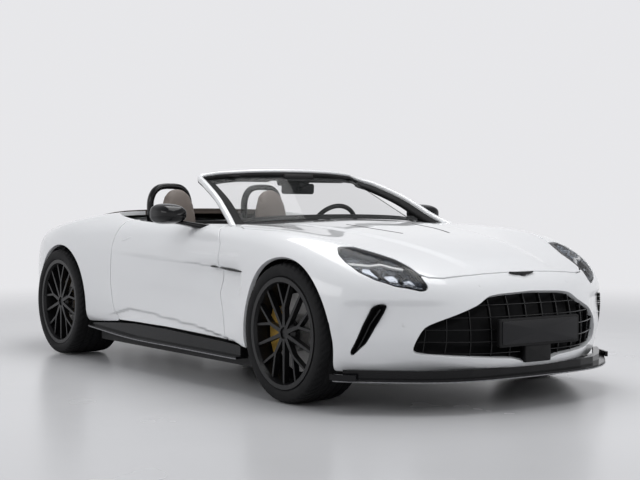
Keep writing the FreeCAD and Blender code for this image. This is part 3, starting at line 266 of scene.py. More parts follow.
# Painted skin: the front and rear bumpers, wings, bonnet, doors, rear quarters and boot lid are one
# smooth body cut along its shut lines. Each panel is pressed sheet with rounded, turned-in edges,
# in gloss white with a clear coat.
AXLE_X = sum(c.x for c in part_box("rim_front_left")) / 2
AXLE_Z = sum(c.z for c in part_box("rim_front_left")) / 2 * 1000
WHEELBASE = 2705
CELL = 12.5
GAP = 5.0
EDGE_ROUND = 2.6
ARCH_RADIUS = 386
FAR = 1e3
SIDES = ((-1, "right"), (1, "left"))
SKIN = [
    [(-3480, 0, 300), (-3595, 0, 320), (-3634, 0, 420), (-3624, 0, 555), (-3614, 0, 670),
     (-3643, 0, 780), (-3672, 0, 872), (-3594, 0, 925), (-3380, 0, 938), (-3050, 0, 953),
     (-2700, 0, 968), (-2400, 0, 980)],
    [(-3470, 330, 300), (-3580, 340, 320), (-3614, 350, 420), (-3604, 350, 550), (-3594, 350, 660),
     (-3618, 350, 765), (-3638, 345, 850), (-3575, 335, 900), (-3368, 320, 918), (-3040, 300, 940),
     (-2690, 280, 960), (-2400, 260, 976)],
    [(-3380, 684, 300), (-3478, 718, 320), (-3506, 749, 420), (-3512, 773, 545), (-3502, 776, 650),
     (-3502, 760, 735), (-3492, 726, 798), (-3433, 684, 842), (-3284, 625, 880), (-3000, 572, 914),
     (-2680, 520, 948), (-2395, 480, 970)],
    [(-3120, 944, 290), (-3140, 966, 310), (-3150, 954, 420), (-3150, 949, 555), (-3145, 941, 665),
     (-3145, 932, 752), (-3135, 893, 820), (-3095, 829, 868), (-2993, 752, 900), (-2780, 696, 928),
     (-2560, 662, 950), (-2380, 640, 964)],
    [(-2705, 935, 250), (-2705, 987, 270), (-2705, 994, 400), (-2705, 997, 550), (-2705, 989, 670),
     (-2705, 977, 770), (-2700, 932, 848), (-2680, 863, 900), (-2630, 802, 930), (-2540, 765, 948),
     (-2430, 745, 957), (-2330, 730, 962)],
    [(-2100, 854, 230), (-2100, 917, 250), (-2100, 931, 350), (-2100, 933, 480), (-2100, 931, 600),
     (-2100, 927, 720), (-2090, 899, 820), (-2080, 859, 880), (-2060, 825, 905), (-2040, 800, 912),
     (-2020, 785, 914), (-2000, 770, 910)],
    [(-1400, 860, 220), (-1400, 928, 240), (-1400, 919, 330), (-1400, 895, 440), (-1400, 900, 560),
     (-1400, 910, 680), (-1400, 894, 790), (-1400, 861, 850), (-1400, 829, 882), (-1400, 805, 892),
     (-1400, 785, 893), (-1400, 765, 888)],
    [(-640, 851, 210), (-640, 905, 230), (-640, 885, 320), (-640, 867, 430), (-640, 866, 550),
     (-640, 888, 670), (-650, 896, 780), (-680, 868, 850), (-760, 832, 885), (-860, 795, 900),
     (-960, 770, 902), (-1050, 745, 897)],
    [(0, 943, 220), (0, 1003, 240), (0, 1024, 350), (0, 1036, 470), (0, 1015, 600), (0, 996, 720),
     (0, 961, 810), (-20, 880, 862), (-110, 808, 880), (-320, 750, 890), (-620, 710, 900),
     (-900, 690, 898)],
    [(400, 922, 195), (413, 944, 210), (417, 965, 300), (417, 991, 420), (415, 979, 530),
     (399, 953, 635), (370, 878, 720), (320, 778, 776), (180, 691, 822), (-120, 620, 862),
     (-500, 580, 893), (-840, 570, 907)],
    [(617, 585, 190), (626, 578, 205), (639, 598, 270), (650, 625, 370), (663, 643, 480),
     (663, 647, 570), (625, 620, 650), (530, 566, 715), (330, 492, 780), (0, 440, 845),
     (-420, 400, 893), (-790, 380, 917)],
    [(745, 316, 190), (810, 343, 203), (842, 369, 265), (848, 370, 365), (830, 352, 480),
     (800, 335, 570), (746, 318, 640), (650, 290, 695), (430, 251, 765), (90, 220, 840),
     (-350, 200, 893), (-740, 190, 922)],
    [(770, 0, 190), (833, 0, 203), (856, 0, 265), (861, 0, 365), (851, 0, 480), (828, 0, 575),
     (778, 0, 645), (680, 0, 700), (460, 0, 768), (120, 0, 842), (-320, 0, 895), (-720, 0, 926)],
]
net = np.array(SKIN, float)
right = net * (1, -1, 1)
POLES = np.concatenate([right, net[-2:0:-1]])


def to_frame(points):
    """Drawn millimetres from the front axle to the frame's metres."""
    return np.asarray(points, float) / 1000 + (AXLE_X, 0, 0)


def round_weights(u):
    """Uniform cubic weights of the poles round the closed loop, with pole k leading at u = k."""
    count = len(POLES)
    cell = np.floor(u).astype(int)
    t = u - cell
    parts = ((1 - t) ** 3, 3 * t ** 3 - 6 * t ** 2 + 4, -3 * t ** 3 + 3 * t ** 2 + 3 * t + 1, t ** 3)
    weights = np.zeros((len(u), count))
    for k, part in enumerate(parts):
        weights[np.arange(len(u)), (cell - 1 + k) % count] += part / 6
    return weights


def up_weights(v):
    """Cubic weights of the twelve rows, clamped at both ends, by the rule that raises one degree at
    a time from the two neighbours' weights."""
    count = POLES.shape[1]
    knots = np.concatenate([np.zeros(3), np.arange(count - 2), np.full(3, count - 3)]).astype(float)
    v = np.clip(v, 0, count - 3 - 1e-9)[:, None]
    weights = ((knots[:-1] <= v) & (v < knots[1:])).astype(float)
    for degree in (1, 2, 3):
        rise = knots[degree:-1] - knots[:-degree - 1]
        fall = knots[degree + 1:] - knots[1:-degree]
        up = np.where(rise > 0, (v - knots[:-degree - 1]) / np.where(rise > 0, rise, 1), 0)
        down = np.where(fall > 0, (knots[degree + 1:] - v) / np.where(fall > 0, fall, 1), 0)
        weights = weights[:, :-1] * up + weights[:, 1:] * down
    return weights


def bare_skin(spots):
    """Point of the smooth skin at each (u, v): the poles weighed round the loop and then upwards."""
    by_row = round_weights(spots[:, 0]) @ POLES.reshape(len(POLES), -1)
    by_row = by_row.reshape(len(spots), POLES.shape[1], 3)
    return (by_row * up_weights(spots[:, 1])[:, :, None]).sum(1)


def unit(vectors):
    """The vectors with their lengths made one."""
    return vectors / np.maximum(np.linalg.norm(vectors, axis=-1, keepdims=True), 1e-12)


def heading(line):
    """Unit directions along a line of points."""
    return unit(np.gradient(line, axis=0))


def crossways(place, spots, step=0.004):
    """Unit normal of a surface from the cross product of its slopes along its two values."""
    along_u = place(spots + (step, 0)) - place(spots - (step, 0))
    along_v = place(spots + (0, step)) - place(spots - (0, step))
    return unit(np.cross(along_u, along_v))


def smooth(value, low, high):
    """Rises from 0 at low to 1 at high with level ends."""
    t = np.clip((value - low) / (high - low), 0, 1)
    return t * t * (3 - 2 * t)


def sill_line(x):
    """Height of the crease along the sill."""
    return np.interp(x, (-2060, -2011, -1743, -1399, -936, -457, -400),
                     (305, 318, 375, 354, 322, 269, 262))


def shoulder_line(x):
    """Height of the long crease that the strake starts, running back and up over the door."""
    return np.interp(x, (-2300, -2040, -1761, -1428, -1068, -712, -430),
                     (736, 728, 717, 702, 682, 664, 648))


def flank_relief(points):
    """Creases pressed into the flanks, in millimetres outwards.
    Under the sill crease the skin steps in and comes out again towards its lower edge. Under the
    shoulder crease it is hollow, most of all behind the front wheel, and fades out by the rear one."""
    x, y, z = points.T
    flank = smooth(np.abs(y), 780, 850)
    along = smooth(x, -2080, -1850) * (1 - smooth(x, -560, -400))
    drop = sill_line(x) - z
    relief = -15 * along * smooth(drop, -2, 14) * (1 - smooth(drop, 20, 105))
    drop = shoulder_line(x) - z
    ends = smooth(x, -2150, -1500) * (1 - smooth(x, -500, -425))
    deep = 7 + 22 * smooth(x, -1150, -640)
    relief -= ends * deep * smooth(drop, -1, 12 + 18 * (1 - smooth(x, -1500, -900))) \
        * (1 - smooth(drop, 40, 175))
    crest = 742 - z
    relief += 5 * smooth(x, -1150, -800) * (1 - smooth(x, -500, -430)) \
        * smooth(crest, -3, 12) * (1 - smooth(crest, 30, 84))
    return relief * flank


def nose_relief(points):
    """The bumper's shelf: above it the nose is full, and under it the corner is scooped."""
    x, y, z = points.T
    y = np.abs(y)
    drop = 545 - z
    shelf = smooth(y, 440, 600) * smooth(x, 420, 480)
    scoop = -15 * shelf * smooth(drop, -8, 30) * (1 - smooth(drop, 60, 210))
    return scoop * (1 - smooth(x, 760, 800))


def bonnet_relief(points):
    """Two soft ridges that run from the screen's corners towards the nose, with the middle full."""
    x, y, z = points.T
    y = np.abs(y)
    ridge = np.interp(x, (-700, -350, 0, 400, 700), (520, 470, 415, 345, 290))
    top = smooth(z, 640, 700) * smooth(x, -700, -560) * (1 - smooth(x, 560, 760))
    inside = smooth(ridge - y, -6, 60)
    return top * 6.5 * (inside - 0.5 * smooth(ridge - y, 60, 330))


def skin(spots):
    """The skin with its creases: each point moved along the smooth skin's normal by the relief."""
    points = bare_skin(spots)
    relief = flank_relief(points) + nose_relief(points) + bonnet_relief(points)
    return points + crossways(bare_skin, spots) * relief[:, None]


def even_steps(place, start, end, fixed, cell, along_u):
    """Parameters from start to end whose points lie about a cell apart along the surface."""
    fine = np.linspace(start, end, 1500)
    total = 0
    for other in fixed:
        rest = np.full_like(fine, other)
        pairs = np.stack([fine, rest] if along_u else [rest, fine], 1)
        total = total + np.linalg.norm(np.diff(place(pairs), axis=0), axis=1)
    length = np.concatenate([[0], np.cumsum(total / len(fixed))])
    return np.interp(np.linspace(0, length[-1], max(int(length[-1] / cell), 2) + 1), length, fine)


def grid_triangles(rows, columns):
    """Two triangles for each cell of a grid of points."""
    corner = (np.arange(rows - 1)[:, None] * columns + np.arange(columns - 1)).ravel()
    a, b, c, d = corner, corner + columns, corner + columns + 1, corner + 1
    return np.concatenate([np.stack([a, b, c], 1), np.stack([a, c, d], 1)])


def clipped(spots, faces, value):
    """Cuts a triangle mesh where a value passes zero and keeps the negative side. A cut edge gets a
    point at the share of its length where the value, taken as straight along it, is zero."""
    inside = value[faces] < 0
    count = inside.sum(1)
    turn = np.arange(3)

    def rolled(chosen, first):
        return np.take_along_axis(chosen, (first[:, None] + turn) % 3, 1)

    one = rolled(faces[count == 1], inside[count == 1].argmax(1))
    two = rolled(faces[count == 2], inside[count == 2].argmin(1))
    pairs = np.concatenate([one[:, [0, 1]], one[:, [0, 2]], two[:, [0, 1]], two[:, [0, 2]]])
    key, index = np.unique(np.sort(pairs, 1), axis=0, return_inverse=True)
    index = index.ravel() + len(spots)
    low, high = value[key[:, 0]], value[key[:, 1]]
    share = (low / (low - high))[:, None]
    new = spots[key[:, 0]] + (spots[key[:, 1]] - spots[key[:, 0]]) * share
    m, n = len(one), len(two)
    ab1, ac1, ab2, ac2 = np.split(index, (m, 2 * m, 2 * m + n))
    kept = [faces[count == 3], np.stack([one[:, 0], ab1, ac1], 1),
            np.stack([ab2, two[:, 1], two[:, 2]], 1), np.stack([ab2, two[:, 2], ac2], 1)]
    faces = np.concatenate(kept)
    spots = np.concatenate([spots, new])
    used, faces = np.unique(faces, return_inverse=True)
    return spots[used], faces.reshape(-1, 3)


def open_edges(faces):
    """Directed edges that only one face has."""
    edges = np.concatenate([faces[:, [0, 1]], faces[:, [1, 2]], faces[:, [2, 0]]])
    key = np.sort(edges, 1)
    _, index, count = np.unique(key, axis=0, return_inverse=True, return_counts=True)
    return edges[count[index.ravel()] == 1]


def pressed(name, place, cover, window, body, finish, depth=12.0, inner=True, cell=CELL,
            edge=EDGE_ROUND, step=0.004, meet=None, ground=bare_skin):
    """Sheet panel: the part of a surface inside a window, with rounded edges turned in by a depth.
    Past the cut edge, rings follow a quarter circle outwards and down, then the flange goes straight
    in along the normal or to where meet puts it, and an inner skin at that depth may close it. The
    cover measures how far each point of the ground lies outside the panel."""
    u0, u1, v0, v1 = window
    us = even_steps(place, u0, u1, (v0 * 0.6 + v1 * 0.4, v0 * 0.2 + v1 * 0.8), cell, True)
    vs = even_steps(place, v0, v1, (u0 * 0.7 + u1 * 0.3, u0 * 0.3 + u1 * 0.7), cell, False)
    spots = np.stack(np.meshgrid(us, vs, indexing="ij"), -1).reshape(-1, 2)
    faces = grid_triangles(len(us), len(vs))
    spots, faces = clipped(spots, faces, cover(ground(spots)) + edge)
    points, normals = place(spots), crossways(place, spots, step)
    edges = open_edges(faces)
    way = points[edges[:, 1]] - points[edges[:, 0]]
    out = np.cross(way, normals[edges[:, 0]])
    outward = np.zeros_like(points)
    np.add.at(outward, edges[:, 0], out)
    np.add.at(outward, edges[:, 1], out)
    rim = np.unique(edges)
    spot_of = np.zeros(len(points), int)
    spot_of[rim] = np.arange(len(rim))
    o, n, base = unit(outward[rim]), normals[rim], points[rim]
    rings, ring_normals = [], []
    for turn in (30, 60, 90):
        a = math.radians(turn)
        rings.append(base + o * edge * math.sin(a) - n * edge * (1 - math.cos(a)))
        ring_normals.append(n * math.cos(a) + o * math.sin(a))
    rings.append(base + o * edge - n * depth if meet is None else meet(base + o * edge))
    ring_normals.append(o)
    if inner:
        rings.append(base - n * depth)
        ring_normals.append(-n)
    total = len(points)
    quads = []
    last = rim
    for k in range(len(rings)):
        here = total + k * len(rim) + np.arange(len(rim))
        a, b = spot_of[edges[:, 0]], spot_of[edges[:, 1]]
        quads.append(np.stack([last[b], last[a], here[a], here[b]], 1))
        last = here
    all_points = [points] + rings
    all_normals = [normals] + ring_normals
    skins = [faces]
    if inner:
        start = total + len(rings) * len(rim)
        renumber = start + np.arange(total)
        renumber[rim] = last
        skins.append(renumber[faces[:, ::-1]])
        all_points.append(points - normals * depth)
        all_normals.append(-normals)
    mesh = whole_mesh(name, to_frame(np.concatenate(all_points)), *skins, *quads)
    mesh.normals_split_custom_set_from_vertices(np.concatenate(all_normals))
    return fitted(name, mesh, body, finish)


def fitted(name, mesh, body, finish):
    """Object of a mesh with its finish, riding on a body."""
    mesh.materials.append(finish.material)
    made = bpy.data.objects.new(name, mesh)
    scene.collection.objects.link(made)
    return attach(made, body)


def outline(points, corners):
    """Signed distance of (a, b) points to a closed outline, negative inside: the least distance to
    any side, with its sign from how often a level line to the right crosses the outline."""
    corners = np.array(corners, float)
    nearest = np.full(len(points), 1e18)
    inside = np.zeros(len(points), bool)
    for start, end in zip(corners, np.roll(corners, -1, 0)):
        way = end - start
        rel = points - start
        share = np.clip((rel @ way) / (way @ way), 0, 1)
        gap = rel - share[:, None] * way
        nearest = np.minimum(nearest, (gap ** 2).sum(1))
        spans = (start[1] > points[:, 1]) != (end[1] > points[:, 1])
        with np.errstate(divide="ignore", invalid="ignore"):
            cross = (end[0] - start[0]) * (points[:, 1] - start[1]) / (end[1] - start[1]) + start[0]
        inside ^= spans & (points[:, 0] < cross)
    return np.where(inside, -1, 1) * np.sqrt(nearest)


def half(points):
    """Closed outline from its half with the second value from zero outwards."""
    return points + [(a, -b) for a, b in reversed(points) if abs(b) > 1e-9]


BONNET = half([(717, 0), (712, 150), (697, 299), (682, 390), (668, 460), (637, 528), (600, 560),
               (538, 568), (449, 585), (348, 633), (240, 690), (140, 735), (31, 771), (-110, 808),
               (-349, 828), (-560, 829), (-640, 800), (-660, 735), (-650, 400), (-640, 0)])
LAMP = [(225, 771), (250, 688), (348, 632), (449, 584), (538, 569), (617, 563), (672, 553),
        (662, 587), (585, 692), (514, 760), (443, 803), (358, 821), (293, 815)]
DOOR = [(-796, 960), (-796, 877), (-704, 791), (-701, 658), (-712, 525), (-628, 328), (-604, 268),
        (-900, 277), (-1300, 288), (-1700, 290), (-1905, 284), (-1960, 380), (-1995, 520),
        (-1995, 760), (-1975, 960)]
GRILLE = half([(580, 0), (572, 200), (562, 280), (522, 342), (480, 447), (449, 527), (417, 593),
               (345, 622), (305, 627), (287, 610), (273, 450), (255, 155), (236, 90), (234, 0)])
SLOT = [(739, 526), (773, 529), (798, 513), (830, 425), (860, 297), (852, 275), (811, 337),
        (784, 415), (748, 497)]


def eased(corners, reach):
    """The outline with each corner turned into a curve through three points: a reach before it, a
    quarter of the way in, and a reach after it."""
    corners = np.array(corners, float)
    before, after = np.roll(corners, 1, 0) - corners, np.roll(corners, -1, 0) - corners
    found = []
    for way in (before, after):
        length = np.linalg.norm(way, axis=1, keepdims=True)
        found.append(corners + way / length * np.minimum(reach, 0.42 * length))
    middle = corners * 0.5 + (found[0] + found[1]) * 0.25
    return list(map(tuple, np.stack([found[0], middle, found[1]], 1).reshape(-1, 2)))


GRILLE, SLOT, LAMP = eased(GRILLE, 26), eased(SLOT, 9), eased(LAMP, 16)
BOOT = half([(-3560, 0), (-3545, 260), (-3470, 470), (-3380, 540), (-2960, 560), (-2945, 540),
             (-2935, 0)])
ROOF = half([(-2915, 0), (-2915, 560), (-2860, 610), (-2500, 640), (-2400, 610), (-2380, 0)])
COWL = half([(-650, 0), (-660, 400), (-672, 700), (-1060, 700), (-1060, 0)])
SKIRT_TOP = [(-2330, 100), (-2330, 250), (-2290, 250), (-1900, 276), (-1700, 285), (-1300, 283),
             (-900, 272), (-620, 266), (-455, 257), (-380, 245), (-380, 100)]
WING = [(396, 150), (396, 1000), (-796, 1000)] + DOOR[1:7] + [(-604, 150)]
REAR_EDGE = [(-1800, 100), (-1800, 1100), (-1975, 1100)] + DOOR[:6:-1][1:5] + [(-1900, 100)]
TAIL_SPLIT = [(-3100, 520), (-3200, 560), (-3330, 590), (-3700, 590), (-3700, 200), (-3050, 200)]
TAIL_BAND = half([(792, 0), (790, 400), (778, 640), (752, 760), (700, 905), (686, 905), (735, 770),
                  (752, 640), (765, 400)])


def plan(p, corners):
    """Distance outside an outline of (x, y), seen from above."""
    return outline(np.stack([p[:, 0], p[:, 1]], 1), corners)


def plan_sides(p, corners):
    """The same for an outline drawn on the left that also counts on the right."""
    return outline(np.stack([p[:, 0], np.abs(p[:, 1])], 1), corners)


def side(p, corners):
    """Distance outside an outline of (x, z), seen from the side."""
    return outline(np.stack([p[:, 0], p[:, 2]], 1), corners)


def front(p, corners):
    """Distance outside an outline of (z, y), seen from the front or the rear."""
    return outline(np.stack([p[:, 2], p[:, 1]], 1), corners)


def front_sides(p, corners):
    """The same for an outline of (y, z) that counts on both sides."""
    return outline(np.stack([np.abs(p[:, 1]), p[:, 2]], 1), corners)


def arches(p):
    """Distance outside the two wheel arches."""
    over = [np.hypot(p[:, 0] - x, p[:, 2] - AXLE_Z) - ARCH_RADIUS for x in (0, -WHEELBASE)]
    return np.where(np.abs(p[:, 1]) > 480, np.minimum(*over), FAR)


def all_of(*values):
    return np.maximum.reduce(values)


def lamp(p):
    return np.where((p[:, 0] > 150) & (p[:, 2] > 560), plan_sides(p, LAMP), FAR)


def mouth(p):
    return np.where(p[:, 0] > 420, front(p, GRILLE), FAR)


def at_corners(p, corners):
    """Distance outside an outline on the two front corners of the bumper."""
    return np.where((p[:, 0] > 395) & (p[:, 0] < 725), front_sides(p, corners), FAR)


def slots(p):
    return at_corners(p, SLOT)


def tail_band(p):
    return np.where(p[:, 0] < -3250, front(p, TAIL_BAND), FAR)


def front_cover(p):
    """Bumper and wings, which meet in a line too fine to see."""
    ahead_or_wing = np.minimum(390 - p[:, 0], side(p, WING))
    return all_of(ahead_or_wing, GAP / 2 - plan(p, BONNET), 1 - lamp(p), -mouth(p), -slots(p),
                  1 - plan(p, COWL), GAP - side(p, DOOR), -arches(p), 1 - side(p, SKIRT_TOP))


def rear_cover(p):
    """Quarters and rear deck, cut clear of the bumper, boot lid, roof, doors and lamp band."""
    return all_of(p[:, 0] + 1900, 1 - side(p, TAIL_SPLIT), GAP / 2 - plan(p, BOOT),
                  -plan(p, ROOF), 1 - side(p, SKIRT_TOP), GAP - side(p, REAR_EDGE),
                  1 - tail_band(p), -arches(p))


def rear_bumper_cover(p):
    return all_of(side(p, TAIL_SPLIT), -arches(p))


def bonnet_cover(p):
    return all_of(plan(p, BONNET) + GAP / 2, 560 - p[:, 2])


def boot_cover(p):
    return all_of(plan(p, BOOT) + GAP / 2, 700 - p[:, 2])


paint = Finish("paint_white", rgb(0.80, 0.81, 0.82), 0.38, Coat_Weight=1.0, Coat_Roughness=0.03,
               Specular_IOR_Level=0.5)
haze = paint.place.cloud(2.2, 2.0)
flake = paint.place.cloud(1400.0, 1.0)
paint.set("Base Color", (haze * 0.5 + flake * 0.5).mixed(rgb(0.78, 0.79, 0.805),
                                                         rgb(0.83, 0.835, 0.84)))
paint.set("Roughness", haze * 0.10 + 0.30)
paint.grained(160.0, 0.00012, 0.25)

TOP = POLES.shape[1] - 3
FRONT, REAR = (6, 18, 0, TOP), (-6, 6, 0, TOP)
DEEP = 25
made = pressed("bonnet_skin", skin, bonnet_cover, FRONT, "bonnet", paint)
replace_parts(made, "bonnet")
made = pressed("nose_and_wings_skin", skin, front_cover, FRONT, "shell", paint, DEEP,
               inner=False, cell=10.0)
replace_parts(made, "front_bumper", "front_wings")
made = pressed("rear_body_skin", skin, rear_cover, REAR, "shell", paint, DEEP, inner=False)
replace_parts(made, "rear_body")
made = pressed("bumper_rear_skin", skin, rear_bumper_cover, REAR, "shell", paint, DEEP, inner=False)
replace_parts(made, "rear_bumper")
made = pressed("boot_lid_skin", skin, boot_cover, (-4, 4, 0, TOP), "boot_lid", paint)
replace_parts(made, "boot_lid")

# Doors: a pressed outer skin, a padded trim card inside with an armrest and a pocket, a flat top
# along the belt, a flush handle, and a dark strake that runs from the wing on to the door.
CARD = 738.0
CARD_LOW = 770.0


def belt(x):
    """Height of the skin's top edge beside the cockpit."""
    row = POLES[4:9, -1]
    return np.interp(x, row[:, 0], row[:, 2])


def card_surface(turn):
    """Inner side of a door over (x turned, z), so that its normal points into the cabin: flat above,
    stepped outwards under the armrest's line."""
    def place(spots):
        x, z = turn * spots[:, 0], spots[:, 1]
        low = smooth(636 - z, 0, 34) * smooth(x, -1845, -1800) * (1 - smooth(x, -870, -830))
        low *= smooth(z, 314, 340)
        rest = smooth(x, -1780, -1700) * (1 - smooth(x, -1180, -1090)) \
            * smooth(z, 628, 650) * (1 - smooth(z, 672, 694))
        pocket = smooth(x, -1500, -1450) * (1 - smooth(x, -1000, -950)) \
            * smooth(z, 330, 345) * (1 - smooth(z, 430, 446))
        y = CARD + (CARD_LOW - CARD) * low - 22 * rest - 26 * pocket
        return np.stack([x, turn * y, z], 1)
    return place


def flange_to_card(turn):
    """The skin's flange ends just outside the card's plane, at each point's own place."""
    def meet(points):
        moved = points.copy()
        moved[:, 1] = turn * (CARD + 2)
        return moved
    return meet


trim = Finish("trim_leather", rgb(0.10, 0.085, 0.075), 0.55, Specular_IOR_Level=0.4)
grain = trim.place.cloud(900.0, 2.0)
trim.set("Base Color", grain.mixed(rgb(0.085, 0.070, 0.062), rgb(0.125, 0.105, 0.092)))
trim.set("Roughness", grain * 0.15 + 0.48)
trim.bump(grain, 0.0004, 0.6)
gloss = Finish("gloss_black", rgb(0.005, 0.005, 0.0055), 0.12, Specular_IOR_Level=0.3)
gloss.worn(30.0, 0.08, 0.10)
dull = Finish("satin_black", rgb(0.006, 0.006, 0.0065), 0.5, Specular_IOR_Level=0.18)
dull.worn(60.0, 0.12, 0.42)
dull.grained(700.0, 0.0003, 0.4)


def spots_for(targets, axes, start):
    """The (u, v) at which two coordinates of the smooth skin have given values, by Newton's steps:
    each step divides the gap left by the slopes along u and v."""
    spots = np.tile(np.array(start, float), (len(targets), 1))
    for _ in range(40):
        here = bare_skin(spots)[:, axes]
        gap = targets - here
        du = (bare_skin(spots + (0.01, 0))[:, axes] - here) / 0.01
        dv = (here - bare_skin(spots - (0, 0.01))[:, axes]) / 0.01
        area = du[:, 0] * dv[:, 1] - du[:, 1] * dv[:, 0]
        area = np.where(np.abs(area) < 1e-6, 1e-6, area)
        step = np.stack([gap[:, 0] * dv[:, 1] - gap[:, 1] * dv[:, 0],
                         du[:, 0] * gap[:, 1] - du[:, 1] * gap[:, 0]], 1) / area[:, None]
        spots = spots + np.clip(step, -0.3, 0.3)
        spots[:, 1] = np.clip(spots[:, 1], 0.02, TOP - 0.02)
    return spots


def resampled(line, count):
    """Points spaced evenly by length along a polyline."""
    line = np.array(line, float)
    length = np.concatenate([[0], np.cumsum(np.linalg.norm(np.diff(line, axis=0), axis=1))])
    where = np.linspace(0, length[-1], count)
    return np.stack([np.interp(where, length, column) for column in line.T], 1)


def blade(name, line, half_up, half_out, body, finish, turn, lift=0.0):
    """Slim pod along a line of (x, z) on the flank: an ellipse about each point in the directions
    up the skin and out of it, shrinking to nothing at both ends as the root of a parabola."""
    count, around = 41, 24
    share = np.linspace(0, 1, count)
    spots = spots_for(resampled(line, count), [0, 2], (7.0 if turn < 0 else 17.0, 3.0))
    base, out = bare_skin(spots), crossways(bare_skin, spots)
    up = np.tile([0.0, 0.0, 1.0], (count, 1))
    up -= out * (up * out).sum(1, keepdims=True)
    size = np.sqrt(np.clip(4 * share * (1 - share), 0, 1))[:, None, None]
    angle = np.linspace(0, 2 * math.pi, around, endpoint=False)
    ring = (up[:, None] * np.cos(angle)[None, :, None] * half_up
            + out[:, None] * np.sin(angle)[None, :, None] * half_out) * np.maximum(size, 1e-3)
    points = (base + out * lift)[:, None] + ring
    return tube(name, [points], body, finish)


def ring_quads(count, around, closed=False):
    """Quads between each ring of points and the next, and from the last ring to the first."""
    rows = np.arange(count if closed else count - 1)[:, None] * around
    cols = np.arange(around)
    ahead_rows, after = (rows + around) % (count * around), (cols + 1) % around
    return np.stack([rows + cols, ahead_rows + cols, ahead_rows + after, rows + after],
                    -1).reshape(-1, 4)


def bar_mesh(name, bars):
    """One mesh of bars, each a stack of rings closed at both ends by a fan."""
    points, faces, start = [], [], 0
    for rings in bars:
        count, around = rings.shape[:2]
        cols = np.arange(around)
        after, end, centre = (cols + 1) % around, (count - 1) * around, count * around
        faces += [ring_quads(count, around) + start,
                  np.stack([np.full(around, centre), cols, after], 1) + start,
                  np.stack([np.full(around, centre + 1), end + after, end + cols], 1) + start]
        points.append(np.concatenate([rings.reshape(-1, 3), rings[[0, -1]].mean(1)]))
        start += len(points[-1])
    return whole_mesh(name, to_frame(np.concatenate(points)), *faces)


def outwards(mesh):
    """Turns the mesh over when the volume that its faces enclose comes out negative: a sixth of the
    sum of a·(b×c) over the triangles."""
    mesh.calc_loop_triangles()
    spots = np.empty(len(mesh.vertices) * 3)
    mesh.vertices.foreach_get("co", spots)
    corners = np.empty(len(mesh.loop_triangles) * 3, np.int32)
    mesh.loop_triangles.foreach_get("vertices", corners)
    a, b, c = spots.reshape(-1, 3)[corners.reshape(-1, 3)].transpose(1, 0, 2)
    if (a * np.cross(b, c)).sum() < 0:
        mesh.flip_normals()
    return mesh


def tube(name, bars, body, finish):
    """Object of one or more bars, each a stack of rings, riding on a body."""
    return fitted(name, outwards(bar_mesh(name, bars)), body, finish)


def door_cover(p):
    return side(p, DOOR)


def card_cover(p):
    """The card stays clear of the door's edge and of the belt."""
    return all_of(side(p, DOOR) + 6, p[:, 2] - belt(p[:, 0]) + 4)


DOOR_WINDOWS = ((4, 8, 0, TOP), (16, 20, 0, TOP))
CARD_WINDOWS = ((600, 1995, 262, 912), (-1995, -600, 262, 912))
for (turn, name), window, card_window in zip(SIDES, DOOR_WINDOWS, CARD_WINDOWS):
    door = "door_" + name
    outer = pressed("door_skin_" + name, skin, door_cover, window, door, paint, inner=False,
                    meet=flange_to_card(turn))
    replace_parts(outer, door)
    card = pressed("door_card_" + name, card_surface(turn), card_cover, card_window, door, trim,
                   depth=30.0, inner=False, cell=14, edge=4, step=0.5, ground=card_surface(turn))
    blade("strake_door_" + name, [(-800, 666), (-704, 663)], 5.5, 13, door, gloss, turn, -2)
    blade("strake_wing_" + name, [(-692, 662), (-560, 656), (-419, 649)], 8.5, 17, "shell",
                  gloss, turn, -2)
    blade("handle_" + name, [(-1898, 786), (-1780, 812)], 12.5, 4, door, paint, turn, -1)

# Headlamps: a clear cover level with the wing over a dark faceted bowl, with a broad black border
# along its upper edge, a white light bar across, black dividers and bright lens blocks.
CLEAR = [(243, 768), (262, 714), (352, 662), (449, 613), (538, 594), (612, 584), (657, 574),
         (655, 588), (580, 690), (511, 756), (441, 799), (358, 816), (294, 810)]
LIGHT_BAR = [(365, 820), (405, 778), (441, 738), (460, 680), (500, 648), (540, 604)]
DIVIDERS = [[(457, 738), (518, 729), (568, 709)], [(570, 652), (590, 657), (606, 662)]]
BLOCKS = [[(425, 775), (450, 745), (512, 737), (555, 716), (500, 752), (445, 785)],
          [(520, 716), (540, 672), (562, 664), (592, 668), (582, 698), (560, 706)],
          [(590, 646), (600, 612), (640, 596), (652, 588), (622, 630), (604, 652)]]


def sunk(depth, fade, measure, first=3.0, base=bare_skin):
    """The skin sunk along its normal: by first at an outline, by depth from a fade's width inside."""
    def place(spots):
        down = first + (depth - first) * smooth(-measure(bare_skin(spots)), 1, fade)
        return base(spots) - crossways(bare_skin, spots) * down[:, None]
    return place


def level(depth, base=bare_skin):
    """The skin sunk by the same depth everywhere."""
    return sunk(depth, 2, lambda p: np.zeros(len(p)), depth, base)


def strip(line, half_width):
    """Closed outline that follows a polyline at half a width on both sides."""
    line = np.array(line, float)
    way = heading(line)
    off = np.stack([-way[:, 1], way[:, 0]], 1) * half_width
    return list(map(tuple, np.concatenate([line + off, (line - off)[::-1]])))


def any_of(*values):
    return np.minimum.reduce(values)


